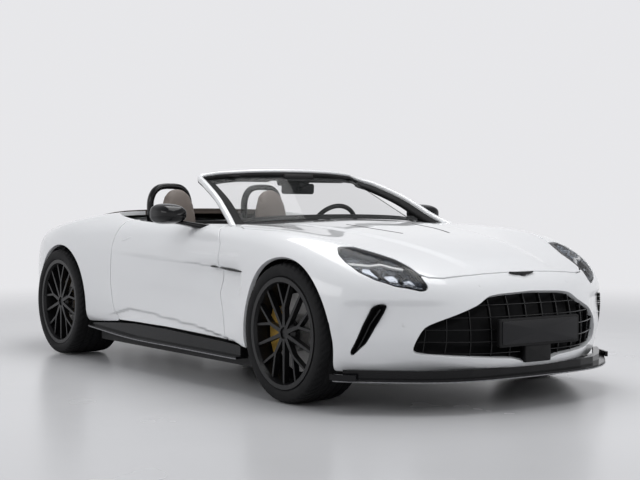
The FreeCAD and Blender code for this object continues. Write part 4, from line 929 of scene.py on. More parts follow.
bowl = Finish("lamp_bowl", rgb(0.02, 0.022, 0.026), 0.25)
facet = bowl.place.add("ShaderNodeTexVoronoi", {"feature": "F1"}, {"Vector": bowl.place,
                                                                   "Scale": 55.0})
shade = facet.above(0.25, 0.5)
bowl.set("Base Color", shade.mixed(rgb(0.010, 0.011, 0.014), rgb(0.12, 0.14, 0.17)))
bowl.set("Metallic", shade * 0.5)
bowl.bump(facet, 0.004, 0.8)
bright = Finish("lamp_reflector", rgb(0.42, 0.45, 0.50), 0.12, Metallic=0.9)
bright.worn(120.0, 0.15, 0.08)
bright.grained(90.0, 0.002, 0.5)
light = Finish("light_bar", rgb(0.86, 0.87, 0.88), 0.25, Coat_Weight=0.6)
light.worn(200.0, 0.2, 0.2)
clear = Finish("clear_cover", rgb(0.02, 0.022, 0.025), 0.02, Alpha=0.16)
clear.worn(12.0, 0.02, 0.01)

ALL_FRONT = (8, 16, 0, TOP)


def inlay(name, place, cover, finish, depth, cell, edge=1.2, window=ALL_FRONT, body="shell"):
    """Closed piece cut from a surface, as thick as its depth."""
    return pressed(name, place, cover, window, body, finish, depth, True, cell, edge)


def in_lamp(*outlines):
    """Cover of any of some outlines drawn from above on the lamps."""
    return lambda p: np.where(p[:, 2] > 560, any_of(*[plan_sides(p, o) for o in outlines]), FAR)


lamps = [
    inlay("lamp_bowls", sunk(38, 34, lamp, 5), lambda p: lamp(p) + 2, bowl, 2.0, 9),
    inlay("lamp_borders", level(3.5), lambda p: all_of(lamp(p) + 1.5, -plan_sides(p, CLEAR)), gloss,
          4.0, 5),
    inlay("lamp_light_bars", level(7.0), in_lamp(strip(LIGHT_BAR, 7.5)), light, 9.0, 4.5),
    inlay("lamp_dividers", level(8.0), in_lamp(*[strip(d, 6) for d in DIVIDERS]), gloss, 26.0, 4),
    inlay("lamp_reflectors", level(17.0), in_lamp(*BLOCKS), bright, 16.0, 5, 2.0),
    inlay("lamp_covers", level(0.3), lambda p: lamp(p) + 1.5, clear, 2.2, 8, 1.0),
]
for piece in lamps:
    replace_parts(piece, "headlamps")

# Nose: an opening behind a lattice of thin upright and level bars, backed by a matte black sheet that
# stands for the black ducts and paints the shade of the deep cavity, a blank plate in its holder with a
# sensor block under it, a bare badge, corner slots with a black rim, a fin and painted shade in their
# depths, and parking sensors.
LEVELS = (283, 343, 403, 463, 523)
UPRIGHTS = (56, 168, 280, 390, 498, 585)


def swept(path, across, up, half_across, half_up, round_share=0.35):
    """Bar along a path: at each point a rounded oblong of eight corners in two directions, with half
    sizes that may change along it."""
    cut = 1 - round_share
    ring = np.array([(1, cut), (cut, 1), (-cut, 1), (-1, cut), (-1, -cut), (-cut, -1), (cut, -1),
                     (1, -cut)])
    wide = np.broadcast_to(half_across, len(path))[:, None] * ring[:, 0]
    high = np.broadcast_to(half_up, len(path))[:, None] * ring[:, 1]
    return path[:, None] + across[:, None] * wide[..., None] + up[:, None] * high[..., None]


def lattice_bar(line, sink, half_thick, half_deep, level_bar):
    """Bar behind the opening along a line of (y, z), following the nose at a depth below it."""
    line = resampled(line, 60)
    line = line[front(np.stack([line[:, 0] * 0, line[:, 0], line[:, 1]], 1), GRILLE) < 4]
    spots = spots_for(line, [1, 2], (12, 3))
    base, out = bare_skin(spots), crossways(bare_skin, spots)
    way = heading(base)
    deep = np.tile([1.0, 0, 0], (len(line), 1)) if level_bar else out * (1, 1, 0)
    deep = unit(deep - way * (deep * way).sum(1, keepdims=True))
    thick = np.cross(way, deep)
    return swept(base - out * sink - deep * half_deep, deep, thick, half_deep, half_thick)


bars = [lattice_bar([(-640, z), (640, z)], 16, 2.6, 12, True) for z in LEVELS]
bars += [lattice_bar([(side_of * y, 225), (side_of * y, 590)], 19, 2.4, 11, False)
         for y in UPRIGHTS for side_of in (-1, 1)]
lattice = tube("grille_lattice", bars, "shell", gloss)
# Matte near-black: the printed screen band, the hoop's inner face and the black ducts behind the grille
# and slots are black, and the same finish paints the shade in the deep pits and the bonnet slits.
black = Finish("black_and_painted_shade", rgb(0.006, 0.006, 0.0065), 0.75, Specular_IOR_Level=0.2)
black.worn(40.0, 0.15, 0.70)


def wide_mouth(p):
    """A little larger than the opening, so that the pit's edge hides behind it."""
    return mouth(p) - 14


def wide_slots(p):
    return slots(p) - 8


# The pit is a matte black sheet at the back of the opening: black ducting, and painted shade of the
# deep cavity.
pit = inlay("grille_pit_painted_shade", sunk(92, 60, wide_mouth, 22), wide_mouth, black, 3.0, 16)
for piece in (lattice, pit):
    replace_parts(piece, "grille")
# Matte black sheets deep in the slots: black duct walls, and painted shade of the deep cavities.
inlay("slot_pits_painted_shade", sunk(70, 40, wide_slots, 20), wide_slots, black, 3.0, 9)
inlay("slot_rims", level(0.6), lambda p: all_of(slots(p) + 0.6, -slots(p) - 4.2), gloss, 20.0, 4.4,
      0.6)
SLOT_FIN = [(765, 505), (803, 430), (838, 305)]
inlay("slot_fins", level(15), lambda p: at_corners(p, strip(SLOT_FIN, 3.2)), gloss, 30.0, 3.2, 1.0)


def slab(name, corners, centre, body, finish, depth, rounded=3.0, turn=(1, 0, 0), up=(0, 0, 1)):
    """Flat plate of an outline in the plane across a direction, with a rounded front edge: rings of
    the outline drawn in along a quarter circle, then a fan of its corners for each face."""
    front_way = unit(np.array(turn, float))
    up_way = unit(np.array(up, float) - front_way * np.dot(up, front_way))
    side_way = np.cross(up_way, front_way)
    flat = resampled(list(corners) + [corners[0]], 97)[:-1]
    way = unit(np.roll(flat, -1, 0) - np.roll(flat, 1, 0))
    area = (flat[:, 0] * np.roll(flat[:, 1], -1) - np.roll(flat[:, 0], -1) * flat[:, 1]).sum()
    out = np.stack([way[:, 1], -way[:, 0]], 1) * (1 if area > 0 else -1)
    rings = [(flat - out * rounded, 0.0)]
    for angle in (60, 30, 0):
        a = math.radians(angle)
        rings.append((flat - out * rounded * (1 - math.cos(a)), -rounded * (1 - math.sin(a))))
    rings.append((flat, -depth))
    stack = np.stack([np.array(centre) + r[:, :1] * side_way + r[:, 1:] * up_way + h * front_way
                      for r, h in rings])
    return tube(name, [stack], body, finish)


def oblong(half_width, half_height, corner):
    """Rectangle with its corners cut by an arc of eight steps."""
    turns = np.radians(np.arange(0, 360, 90 / 8) + 90 / 16)
    x, y = np.cos(turns), np.sin(turns)
    return list(zip(np.sign(x) * (half_width - corner) + x * corner,
                    np.sign(y) * (half_height - corner) + y * corner))


plate = Finish("plate_dark", rgb(0.008, 0.008, 0.0095), 0.3, Specular_IOR_Level=0.25)
plate.worn(400.0, 0.10, 0.26)
slab("plate_holder", oblong(272, 69, 9), (866.0, 0, 385), "shell", dull, 24)
slab("plate_blank", oblong(258, 56, 5), (870.0, 0, 386), "shell", plate, 6, 1.0)
slab("plate_sensor", oblong(88, 44, 6), (853.0, 0, 275), "shell", dull, 40, 5)
WINGS = [(0, -14), (14, -12), (22, -5), (42, -3), (62, 3), (86, 12), (84, 15), (26, 12), (0, 13)]
slab("badge_bare", WINGS + [(-a, b) for a, b in WINGS[-2:0:-1]], (744.0, 0, 664), "shell",
     gloss, 9, 1.5, turn=(0.62, 0, 0.78), up=(0, 0, 1))
for number, y in enumerate((-675, -300, 300, 675)):
    spot = spots_for(np.array([[y, 428.0 if abs(y) > 400 else 612.0]]), [1, 2], (12 + y / 400, 3))
    centre, out = bare_skin(spot)[0], crossways(bare_skin, spot)[0]
    slab("sensor_front_%d" % number, oblong(8, 8, 8), centre + out * 0.6, "shell", paint, 4, 0.8,
         turn=out)

# Wheels: low tyres with four grooves and slanted shoulder blocks, black rims of five forked and
# five straight spokes round a plain hub, with a lip ring, iron discs on bells, and gold calipers.
def hooped(name, profile, steps, centre, body, finish, tread=None):
    """Ring turned about the axle: each profile point (y, radius) goes round a full circle, and tread
    may take some millimetres off the radius by its angle and place."""
    profile = np.array(profile, float)
    angle = np.linspace(0, 2 * math.pi, steps, endpoint=False)[:, None]
    y = np.tile(profile[:, 0], (steps, 1))
    radius = np.tile(profile[:, 1], (steps, 1))
    if tread is not None:
        radius = radius - tread(angle, y, radius)
    points = np.stack([radius * np.cos(angle), y, radius * np.sin(angle)], -1) / 1000 + centre
    mesh = whole_mesh(name, points.reshape(-1, 3), ring_quads(steps, len(profile), True))
    return fitted(name, outwards(mesh), body, finish)


def tyre_profile(wide):
    """Closed section: crown, round shoulders, bulged walls, beads at the rim and the inner wall."""
    crown = [(y, 356 - 5.5 * (y / wide) ** 2) for y in np.linspace(-(wide - 22), wide - 22, 45)]
    wall = []
    for turn in np.linspace(12, 80, 7):
        a = math.radians(turn)
        wall.append((wide - 22 + 21 * math.sin(a), 330 + 20.5 * math.cos(a)))
    wall += [(wide, 318), (wide - 0.5, 306), (wide - 3, 296), (wide - 7, 289), (wide - 10, 286.5),
             (wide - 13, 284.6), (wide - 15, 277), (wide - 17, 268), (wide - 24, 267.4)]
    inner = [(wide - 26, 276), (wide - 18, 292), (wide - 14, 312), (wide - 24, 334),
             (wide - 60, 343)]
    left = [(-y, r) for y, r in reversed(wall)]
    inner_left = [(-y, r) for y, r in reversed(inner)]
    return left + crown + wall + inner + inner_left


TREAD_BLOCKS = 54
TREAD_DEPTH = 6.5


def tread_cuts(wide):
    """Depth cut from the crown: four grooves round it, slanted shoulder slots and fine lines."""
    def cut(angle, y, radius):
        zone = smooth(radius, 336, 344)
        grooves = sum(1 - smooth(np.abs(y - wide * c), 3.2, 6.0) for c in (-0.52, -0.18, 0.18, 0.52))
        turns = angle / (2 * math.pi)
        wave = np.abs(np.mod(turns * TREAD_BLOCKS + np.abs(y) / 42.0, 1) - 0.5)
        slots_in = (1 - smooth(wave, 0.055, 0.10)) * smooth(np.abs(y), wide * 0.56, wide * 0.60)
        fine = (1 - smooth(wave, 0.02, 0.05)) * (np.abs(y) < wide * 0.5) * 0.6
        return zone * TREAD_DEPTH * np.clip(grooves + slots_in * 0.85 + fine, 0, 1)
    return cut


rubber = Finish("tyre_rubber", rgb(0.009, 0.009, 0.0095), 0.62, Specular_IOR_Level=0.15)
ring_place = rubber.place.cloud(300.0, 2.0)
rubber.set("Base Color", ring_place.mixed(rgb(0.006, 0.006, 0.0065), rgb(0.013, 0.013, 0.0135)))
rubber.worn(20.0, 0.16, 0.52)
rubber.bump(ring_place, 0.0004, 0.5)
wheel_black = Finish("rim_black", rgb(0.006, 0.006, 0.0065), 0.3, Specular_IOR_Level=0.3)
wheel_black.worn(80.0, 0.12, 0.26)
wheel_black.grained(500.0, 0.0001, 0.4)
iron = Finish("disc_iron", rgb(0.36, 0.36, 0.36), 0.35, Metallic=0.9)
iron.worn(260.0, 0.25, 0.28)
iron.tinted(30.0, rgb(0.22, 0.22, 0.22), rgb(0.40, 0.39, 0.38))
gold = Finish("caliper_gold", rgb(0.55, 0.33, 0.06), 0.3, Metallic=0.55, Coat_Weight=0.8)
gold.tinted(60.0, rgb(0.50, 0.29, 0.05), rgb(0.62, 0.40, 0.09))
gold.grained(400.0, 0.0002, 0.5)
TYRE_STEPS = 270
LIP_STEPS = 160
CORNERS = ("front_left", "front_right", "rear_left", "rear_right")
wheel_black.dress(*["rim_" + corner for corner in CORNERS])
iron.dress(*["disc_" + corner for corner in CORNERS])
gold.dress("rear_calipers", "caliper_front_left", "caliper_front_right")


def curve_at(points, where):
    """Smooth line through points, at places counted in points from the first: Hermite cubics whose
    slopes are half the step between neighbours."""
    points = np.array(points, float)
    slope = np.gradient(points, axis=0)
    k = np.clip(np.asarray(where).astype(int), 0, len(points) - 2)
    t = (where - k)[:, None]
    h = (2 * t ** 3 - 3 * t ** 2 + 1, t ** 3 - 2 * t ** 2 + t, -2 * t ** 3 + 3 * t ** 2,
         t ** 3 - t ** 2)
    return h[0] * points[k] + h[1] * slope[k] + h[2] * points[k + 1] + h[3] * slope[k + 1]


def drawn(points, count):
    """Even samples of the smooth line through points."""
    return curve_at(points, np.linspace(0, len(points) - 1, count))


for corner in CORNERS:
    low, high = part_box("tyre_" + corner)
    centre = (np.array(low) + np.array(high)) / 2
    centre[2] = AXLE_Z / 1000
    half_width = (high[1] - low[1]) * 500
    turn = 1 if "left" in corner else -1
    wheel = "wheel_" + corner
    made = hooped("tyre_" + corner + "_tread", tyre_profile(half_width), TYRE_STEPS, centre, wheel,
                  rubber, tread_cuts(half_width))
    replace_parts(made, "tyre_" + corner)
    bead = half_width - 14.5
    lip = [(bead + 1, 268), (bead + 1, 283), (bead + 4.5, 287), (bead + 6.5, 283), (bead + 5, 268),
           (bead - 20, 258), (bead - 22, 262)]
    hooped("lip_" + corner, [(y * turn, r) for y, r in lip], LIP_STEPS, centre, wheel,
                   wheel_black)

# Windscreen: clear curved glass with a dark printed band round its edge, in a hoop of two raked
# pillars and a thin top rail, white outside and black inside, with folded visors, a sensor block and
# a rear-view mirror. The scuttle at its foot is black.
SCREEN = [(-735, 0, 930), (-748, 300, 926), (-790, 520, 916), (-880, 668, 900)]
HEADER = [(-1262, 0, 1199), (-1282, 250, 1196), (-1330, 450, 1186), (-1420, 585, 1166)]
HOOP = [(-705, 799, 870), (-840, 752, 930), (-1050, 702, 1040), (-1270, 652, 1125),
        (-1385, 620, 1158), (-1428, 590, 1173), (-1400, 524, 1186), (-1348, 452, 1195),
        (-1292, 250, 1206), (-1274, 0, 1209)]


def over_car(points):
    """A half line from the middle outwards, as a whole line from right to left."""
    return [(x, -y, z) for x, y, z in points[:0:-1]] + points


def screen_place(spots):
    """Straight from the base line to the top line at each share of the width and height."""
    where = (spots[:, 0] + 1) * 3
    low, high = curve_at(over_car(SCREEN), where), curve_at(over_car(HEADER), where)
    return low + (high - low) * spots[:, 1:]


def screen_flat(spots):
    """The glass laid flat, in millimetres across and up."""
    return spots * (640, 540)


def screen_edge(p, inset=0.0, foot=0.0):
    """Distance outside the glass, drawn in by an inset and, along its lower edge, by a foot."""
    return all_of(np.abs(p[:, 0]) - 637 + inset, p[:, 1] - 537 + inset, 3 + foot - p[:, 1])


def screen_under(spots):
    """Just behind the glass."""
    return screen_place(spots) - crossways(screen_place, spots) * 5.5


glass = Finish("screen_glass", rgb(0.02, 0.025, 0.024), 0.01, Alpha=0.10)
glass.worn(3.0, 0.01, 0.005)
WHOLE = (-1, 1, 0, 1)
pane = pressed("windscreen_glass", screen_place, screen_edge, WHOLE, "shell", glass, 5.0, cell=24,
               edge=1.5, ground=screen_flat)
band = pressed("windscreen_band", screen_under,
               lambda p: all_of(screen_edge(p), -screen_edge(p, 62, 54)), WHOLE, "shell", black, 1.5,
               cell=13, edge=0.6, ground=screen_flat)
for piece in (pane, band):
    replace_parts(piece, "windscreen")


def along_path(path, tilt):
    """Directions beside and above a path: across the tilt, then square to both."""
    way = heading(path)
    beside = unit(np.cross(way, tilt))
    return beside, np.cross(beside, way)


HOOP_POINTS = 181
path = drawn(HOOP + [(x, -y, z) for x, y, z in HOOP[-2::-1]], HOOP_POINTS)
beside, above = along_path(path, np.array([0.4, 0, 1.0]))
foot = smooth(np.abs(np.linspace(-1, 1, HOOP_POINTS)), 0.40, 0.62)
outer = swept(path + beside * (3 + 5 * foot)[:, None] + above * (14 - 5 * foot)[:, None], beside,
              above, 13 + 2 * foot, 9 + 7 * foot, 0.35)
inner = swept(path - beside * (9 + foot * 28)[:, None] - above * (10 + 2 * foot)[:, None], beside,
              above, 24 + 17 * foot, 16.0 - 2 * foot, 0.3)
for name, rings, finish, slot in (("screen_hoop_white", outer, paint, "paint_white"),
                                  ("screen_hoop_black", inner, black, "satin_black")):
    hoop = tube(name, [rings], "shell", finish)
    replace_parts(hoop, "windscreen_frame")
for side_of, word in SIDES:
    slab("visor_" + word, oblong(172, 58, 16),
         (-1352.0, side_of * 292, 1166), "shell", dull, 13, 4, turn=(0.22, 0, -0.97),
         up=(1, 0, 0))
slab("sensor_block", oblong(112, 52, 14), (-1268.0, 0, 1152), "shell", dull, 34, 6,
     turn=(0.45, 0, -0.9), up=(1, 0, 0))
slab("rear_view_mirror", oblong(116, 33, 16), (-1262.0, 0, 1112), "shell", dull, 28, 6,
     turn=(-1, 0, 0.06))
slab("rear_view_glass", oblong(108, 27, 13), (-1263.0, 0, 1112), "shell", bright, 2, 0.5,
     turn=(-1, 0, 0.06))
slab("rear_view_stem", oblong(16, 22, 8), (-1228.0, 0, 1138), "shell", dull, 30, 4,
     turn=(-0.5, 0, 0.86), up=(1, 0, 0))
dull.dress("cowl")

# Door mirrors: gloss black heads on flat arms, with a mirror glass set into the rear.
MIRROR = [(-1060, 955, 950, 12, 6), (-1070, 957, 951, 50, 28), (-1090, 960, 953, 72, 44),
          (-1140, 963, 955, 85, 56), (-1205, 963, 956, 88, 60), (-1236, 963, 956, 85, 57),
          (-1243, 963, 956, 81, 53), (-1240, 963, 956, 77, 49), (-1234, 963, 956, 75, 47)]


def oval(around, power):
    """Points of |a|^p + |b|^p = 1, one for each of so many even angles."""
    angle = np.linspace(0, 2 * math.pi, around, endpoint=False)
    return [np.sign(part) * np.abs(part) ** (2 / power) for part in (np.cos(angle), np.sin(angle))]


def oval_rings(sections, turn):
    """Upright ovals at each (x, y, z, half y, half z), turned to one side of the car."""
    y, z = oval(40, 2.7)
    s = np.array(sections)
    return np.stack([np.repeat(s[:, :1], len(y), 1), turn * (s[:, 1:2] + s[:, 3:4] * y),
                     s[:, 2:3] + s[:, 4:5] * z], -1)


for side_name, turn in (("left", 1), ("right", -1)):
    door = "door_" + side_name
    head = oval_rings(drawn(MIRROR, 49), turn)
    foot_to_head = drawn([(-1018, turn * 796, 878), (-1060, turn * 850, 890),
                          (-1110, turn * 900, 903), (-1142, turn * 934, 908)], 15)
    share = np.linspace(0, 1, 15)
    ahead_way = np.tile([1.0, 0, 0], (15, 1))
    upward = np.tile([0, -0.25 * turn, 1.0], (15, 1))
    arm = swept(foot_to_head, ahead_way, upward, 56 - 22 * share, 17 - 9 * share)
    for name, rings in (("mirror_head_" + side_name, head), ("mirror_arm_" + side_name, arm)):
        piece = tube(name, [rings], door, gloss)
        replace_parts(piece, "mirror_" + side_name)
    pane = oval_rings([(-1233.5, 963, 956, 74, 46), (-1238, 963, 956, 74, 46)], turn)
    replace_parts(tube("mirror_glass_" + side_name, [pane], door, bright), "mirror_" + side_name)

# Bonnet: two slim slits that taper towards the nose, each a matte black strip laid on the bonnet that
# paints the shade inside the slit.
SLIT = [(-413, 240), (-300, 228), (-185, 215), (-90, 192), (-1, 165)]
for side_of, word in SIDES:
    inlay("bonnet_slit_" + word, level(-0.8, skin),
          lambda p: np.where((p[:, 2] > 700) & (p[:, 1] * side_of > 0),
                             plan_sides(p, strip(SLIT, 6.0)), FAR), black, 6.0, 5.0, 0.8,
          (10, 14, 5, TOP), "bonnet")

# Cabin: a leather dashboard with a hooded display, a centre screen and vents, a tunnel console with
# a gloss plate and selector, the steering wheel, mats, roll hoops, the taupe lining behind the seats
# and the fabric on the cover of the folded roof.
trim.dress("dashboard", "centre_console")
grip = Finish("wheel_leather", rgb(0.02, 0.02, 0.02), 0.5)
grip.worn(500.0, 0.2, 0.4)
grip.grained(900.0, 0.0003, 0.6)
grip.dress("steering_wheel")
cloth_roof = Finish("roof_fabric", rgb(0.07, 0.055, 0.046), 0.9)
threads = cloth_roof.place.add("ShaderNodeTexWave", {"wave_type": "BANDS", "bands_direction": "X"},
                               {"Vector": cloth_roof.place, "Scale": 250.0})
cross_threads = cloth_roof.place.add("ShaderNodeTexWave", {"bands_direction": "Y"},
                                     {"Vector": cloth_roof.place, "Scale": 250.0})
cloth_roof.set("Base Color", (threads * cross_threads).mixed(rgb(0.055, 0.042, 0.035),
                                                             rgb(0.12, 0.095, 0.08)))
cloth_roof.bump(threads * cross_threads, 0.0006, 0.7)
cloth_roof.dress("roof_cover")
display = Finish("display", rgb(0.012, 0.013, 0.016), 0.08, Coat_Weight=1.0)
display.worn(30.0, 0.05, 0.05)
SEAT_Y = 370.0
FLAT = (0, 0, 1)
AHEAD = (1, 0, 0)
slab("display_hood", oblong(168, 62, 30), (-1052, SEAT_Y, 838), "shell", trim, 90, 12, (-1, 0, 0.18))
slab("display_driver", oblong(148, 45, 16), (-1053.5, SEAT_Y, 838), "shell", display, 4, 1,
     (-1, 0, 0.18))
slab("display_centre", oblong(132, 52, 10), (-1066, 0, 762), "shell", display, 40, 3, (-1, 0, 0.25))
for y, centre_z, vane_z in ((-640, 812, 800), (-170, 818, 805), (170, 818, 805), (620, 812, 800)):
    slab("vent_%d" % (y + 1000), oblong(44, 25, 12), (-1064, y, centre_z), "shell", dull, 30, 3,
         (-1, 0, 0.3))
    for k in range(4):
        slab("vane_%d_%d" % (y + 1000, k), oblong(38, 1.6, 1.5), (-1065.5, y, vane_z + 9 * k), "shell",
             bright, 3, 0.4, (-1, 0, 0.3))
slab("dash_panel", oblong(190, 26, 10), (-1060.5, -400, 762), "shell", gloss, 14, 3, (-1, 0, 0.2))
slab("console_plate", oblong(74, 230, 18), (-1330, 0, 563), "shell", gloss, 10, 3, (0.02, 0, 1), AHEAD)
slab("console_screen_keys", oblong(60, 40, 8), (-1130, 0, 632), "shell", display, 30, 3,
     (-0.8, 0, 0.6), (1, 0, 0.8))
slab("gear_selector", oblong(20, 34, 12), (-1265, 0, 612), "shell", grip, 50, 8, FLAT, AHEAD)
slab("arm_rest", oblong(96, 190, 30), (-1820, 0, 596), "shell", trim, 34, 12, FLAT, AHEAD)
slab("wheel_boss", oblong(54, 46, 22), (-1412, SEAT_Y, 828), "steering_wheel", grip, 30, 10,
     (-0.914, 0, -0.407))
for side_of, word in SIDES:
    slab("mat_" + word, oblong(180, 260, 30), (-1080, side_of * SEAT_Y, 166), "shell", cloth_roof, 5, 2,
         FLAT, AHEAD)
ARCH = [(-145, 868), (-147, 1000), (-141, 1052), (-120, 1098), (-84, 1127), (-40, 1137), (0, 1138)]
for side_of, word in SIDES:
    flat = drawn(ARCH + [(-y, z) for y, z in ARCH[-2::-1]], 73)
    way = np.stack([np.full(73, -2239.0), side_of * SEAT_Y + flat[:, 0], flat[:, 1]], 1)
    beside_it, above_it = along_path(way, np.array([1.0, 0, 0]))
    arch = swept(way, beside_it, above_it, 19.0, 24.0, 0.45)
    hoop = tube("roll_hoop_" + word, [arch], "shell", gloss)
    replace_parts(hoop, "roll_hoops")
beam = slab("hoop_beam", oblong(560, 26, 12), (-2216, 0, 878), "shell", dull, 72, 6)
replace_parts(beam, "roll_hoops")
slab("rear_lining", oblong(560, 130, 30), (-2284, 0, 748), "shell", trim, 6, 3)

# Seats: padded leather in taupe, each with a cushion and back whose sewn channels run across, raised
# bolsters, a tall tapered headrest in one with the back, dark hard shells and seams between them.
leather = Finish("seat_leather", rgb(0.15, 0.125, 0.108), 0.5, Specular_IOR_Level=0.4)
pores = leather.place.cloud(1100.0, 1.0)
tone = leather.place.cloud(9.0, 2.0)
leather.set("Base Color", (tone * 0.6 + pores * 0.4).mixed(rgb(0.110, 0.090, 0.078),
                                                           rgb(0.190, 0.160, 0.140)))
leather.set("Roughness", tone * 0.15 + 0.42)
leather.bump(pores, 0.0004, 0.6)
thread = Finish("seam_thread", rgb(0.045, 0.036, 0.031), 0.6)
thread.worn(700.0, 0.2, 0.5)
BACK_WAY = np.array([-0.36, 0, 0.933])
PAD_VOXEL = 0.007
PAD_FRAMES = 20


def seat_rings(line, half_across, half_up, offset, power=3.2, count=40):
    """Pad along a line of (x, z): ovals |a|^p + |b|^p = 1 across the car and square to the line,
    whose sizes close round at both ends as a power curve, set off to one side by an offset."""
    flat = drawn(line, count)
    path = np.stack([flat[:, 0], np.full(count, -SEAT_Y + offset), flat[:, 1]], 1)
    up = np.cross(heading(path), [0, 1.0, 0])
    share = np.linspace(-1, 1, count)
    ends = np.maximum(1 - np.abs(share) ** 9, 0.02) ** 0.45
    wide = np.interp(share, np.linspace(-1, 1, len(half_across)), half_across) * ends
    high = np.interp(share, np.linspace(-1, 1, len(half_up)), half_up) * ends
    side_part, up_part = oval(36, power)
    return (path[:, None] + (wide[:, None] * side_part)[..., None] * [0, 1.0, 0]
            + up[:, None] * (high[:, None] * up_part)[..., None])


def coords(mesh, field="vertices", kind="co"):
    """Three values of each vertex as rows."""
    found = np.empty(len(getattr(mesh, field)) * 3)
    getattr(mesh, field).foreach_get(kind, found)
    return found.reshape(-1, 3)


def baked(thing):
    """A new mesh of the thing with its modifiers worked in."""
    graph = bpy.context.evaluated_depsgraph_get()
    return bpy.data.meshes.new_from_object(thing.evaluated_get(graph))


def stuffed(name, rings, cap, channels=None):
    """Pad blown up from inside as cloth, with no point moved past a cap in millimetres; then the
    channels, a depth by place, are drawn in along its normals."""
    thing = bpy.data.objects.new(name, outwards(bar_mesh(name, [rings])))
    scene.collection.objects.link(thing)
    grid = thing.modifiers.new("grid", "REMESH")
    grid.mode = "VOXEL"
    grid.voxel_size = PAD_VOXEL
    mesh = baked(thing)
    thing.modifiers.clear()
    thing.data = mesh
    points = coords(mesh)
    cloth = thing.modifiers.new("cloth", "CLOTH")
    cloth.settings.use_pressure = True
    cloth.settings.uniform_pressure_force = 4
    cloth.settings.effector_weights.gravity = 0
    for step in range(1, PAD_FRAMES + 1):
        scene.frame_set(step)
    move = coords(baked(thing)) - points
    thing.modifiers.clear()
    scene.frame_set(1)
    far = np.linalg.norm(move, axis=1, keepdims=True)
    points = points + move * np.minimum(1, cap / 1000 / np.maximum(far, 1e-9))
    if channels is not None:
        normals = coords(mesh, "vertex_normals", "vector")
        depth = channels(points * 1000 - (AXLE_X * 1000, 0, 0))
        points = points - normals * depth[:, None] / 1000
    mesh.vertices.foreach_set("co", points.ravel())
    mesh.polygons.foreach_set("use_smooth", np.ones(len(mesh.polygons), bool))
    mesh.update()
    return thing


def sewn(start, way, pitch, count):
    """Channels four millimetres deep across a pad, at even steps along a direction."""
    def cut(points):
        along_it = (points - start) @ way
        gap = np.abs(np.mod(along_it / pitch + 0.5, 1) - 0.5) * pitch
        inside = (along_it > pitch * 0.5) & (along_it < pitch * (count + 0.5))
        return 4 * (1 - smooth(gap, 0, 9)) * inside
    return cut


def mirrored_thing(thing, name):
    """The left seat's piece: the right one's with its points across the car and faces turned."""
    mesh = thing.data.copy()
    mesh.name = name
    points = coords(mesh) * (1, -1, 1)
    mesh.vertices.foreach_set("co", points.ravel())
    mesh.flip_normals()
    other = bpy.data.objects.new(name, mesh)
    scene.collection.objects.link(other)
    return other


BOLSTER_SEAT = [(-1372, 300), (-1430, 330), (-1520, 338), (-1650, 333), (-1790, 328), (-1850, 352)]
BOLSTER_BACK = [(-1868, 372), (-1905, 460), (-1950, 590), (-2005, 710), (-2068, 796)]
HEAD_LINE = [(-2116, 850), (-2120, 900), (-2124, 950), (-2130, 1010), (-2137, 1065), (-2142, 1118)]
cushion_line = [(-1342, 272), (-1372, 292), (-1440, 309), (-1620, 288), (-1790, 264), (-1842, 272)]
back_line = [(-1880, 330), (-1896, 372), (-1960, 540), (-2030, 722), (-2086, 866)]
pads = [
    ("cushion", seat_rings(cushion_line, (130, 136, 138, 132), (28, 32, 32, 28), 0), 9,
     sewn(np.array([-1420, 0, 330]), np.array([-1.0, 0, 0]), 58, 6), 0.8),
    ("back", seat_rings(back_line, (112, 122, 130, 124), (28, 30, 30, 30), 0), 9,
     sewn(np.array([-1900, 0, 380]), BACK_WAY, 62, 7), 0.8),
    ("headrest", seat_rings(HEAD_LINE, (126, 126, 122, 112, 92, 52), (56, 56, 52, 46, 36, 20), 0,
                            power=2.6), 6, None, 0.9),
]
for word, off in (("outer", -181), ("inner", 181)):
    pads.append(("bolster_seat_" + word, seat_rings(BOLSTER_SEAT, (30, 36, 36, 32),
                                                    (34, 40, 40, 34), off, power=2.4), 6, None, 0.9))
    pads.append(("bolster_back_" + word, seat_rings(BOLSTER_BACK, (32, 37, 37, 30),
                                                    (50, 62, 58, 34), off, power=2.4), 6, None, 0.9))
for word, rings, cap, channels, fill in pads:
    right_pad = stuffed("seat_right_" + word, rings, cap, channels)
    left_pad = mirrored_thing(right_pad, "seat_left_" + word)
    for piece in (right_pad, left_pad):
        piece.data.materials.clear()
        piece.data.materials.append(leather.material)
        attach(piece, "shell")
        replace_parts(piece, "seats")

SHELL_BACK = [(-1938, 300), (-1968, 400), (-2040, 600), (-2110, 800), (-2158, 900), (-2166, 960),
              (-2160, 1020)]
SHELL_BASE = [(-1352, 212), (-1400, 218), (-1600, 214), (-1800, 206), (-1895, 214)]
SHELLS = [(SHELL_BACK, (150, 172, 178, 150, 112, 76), (26, 30, 34, 30, 20, 14)),
          (SHELL_BASE, (150, 158, 158, 150), (44, 50, 44, 40))]
SEAMS = [[(-1392, 322), (-1470, 334), (-1620, 326), (-1790, 314), (-1846, 330)],
         [(-1868, 372), (-1912, 490), (-1975, 640), (-2040, 790)]]
for side_of, word in SIDES:
    shells = [seat_rings(line, wide, high, SEAT_Y * (1 + side_of), 3.6)
              for line, wide, high in SHELLS]
    hard_shell = tube("seat_%s_shell" % word, shells, "shell", dull)
    lines = []
    for line in SEAMS:
        for off in (-143, 143):
            flat = drawn(line, 40)
            way = np.stack([flat[:, 0], np.full(40, side_of * SEAT_Y + off), flat[:, 1]], 1)
            beside_it, above_it = along_path(way, np.array([0.3, 1.0, 0.2]))
            lines.append(swept(way, beside_it, above_it, 2.2, 2.2))
    seams = tube("seat_%s_seams" % word, lines, "shell", thread)
    for piece in (hard_shell, seams):
        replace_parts(piece, "seats")
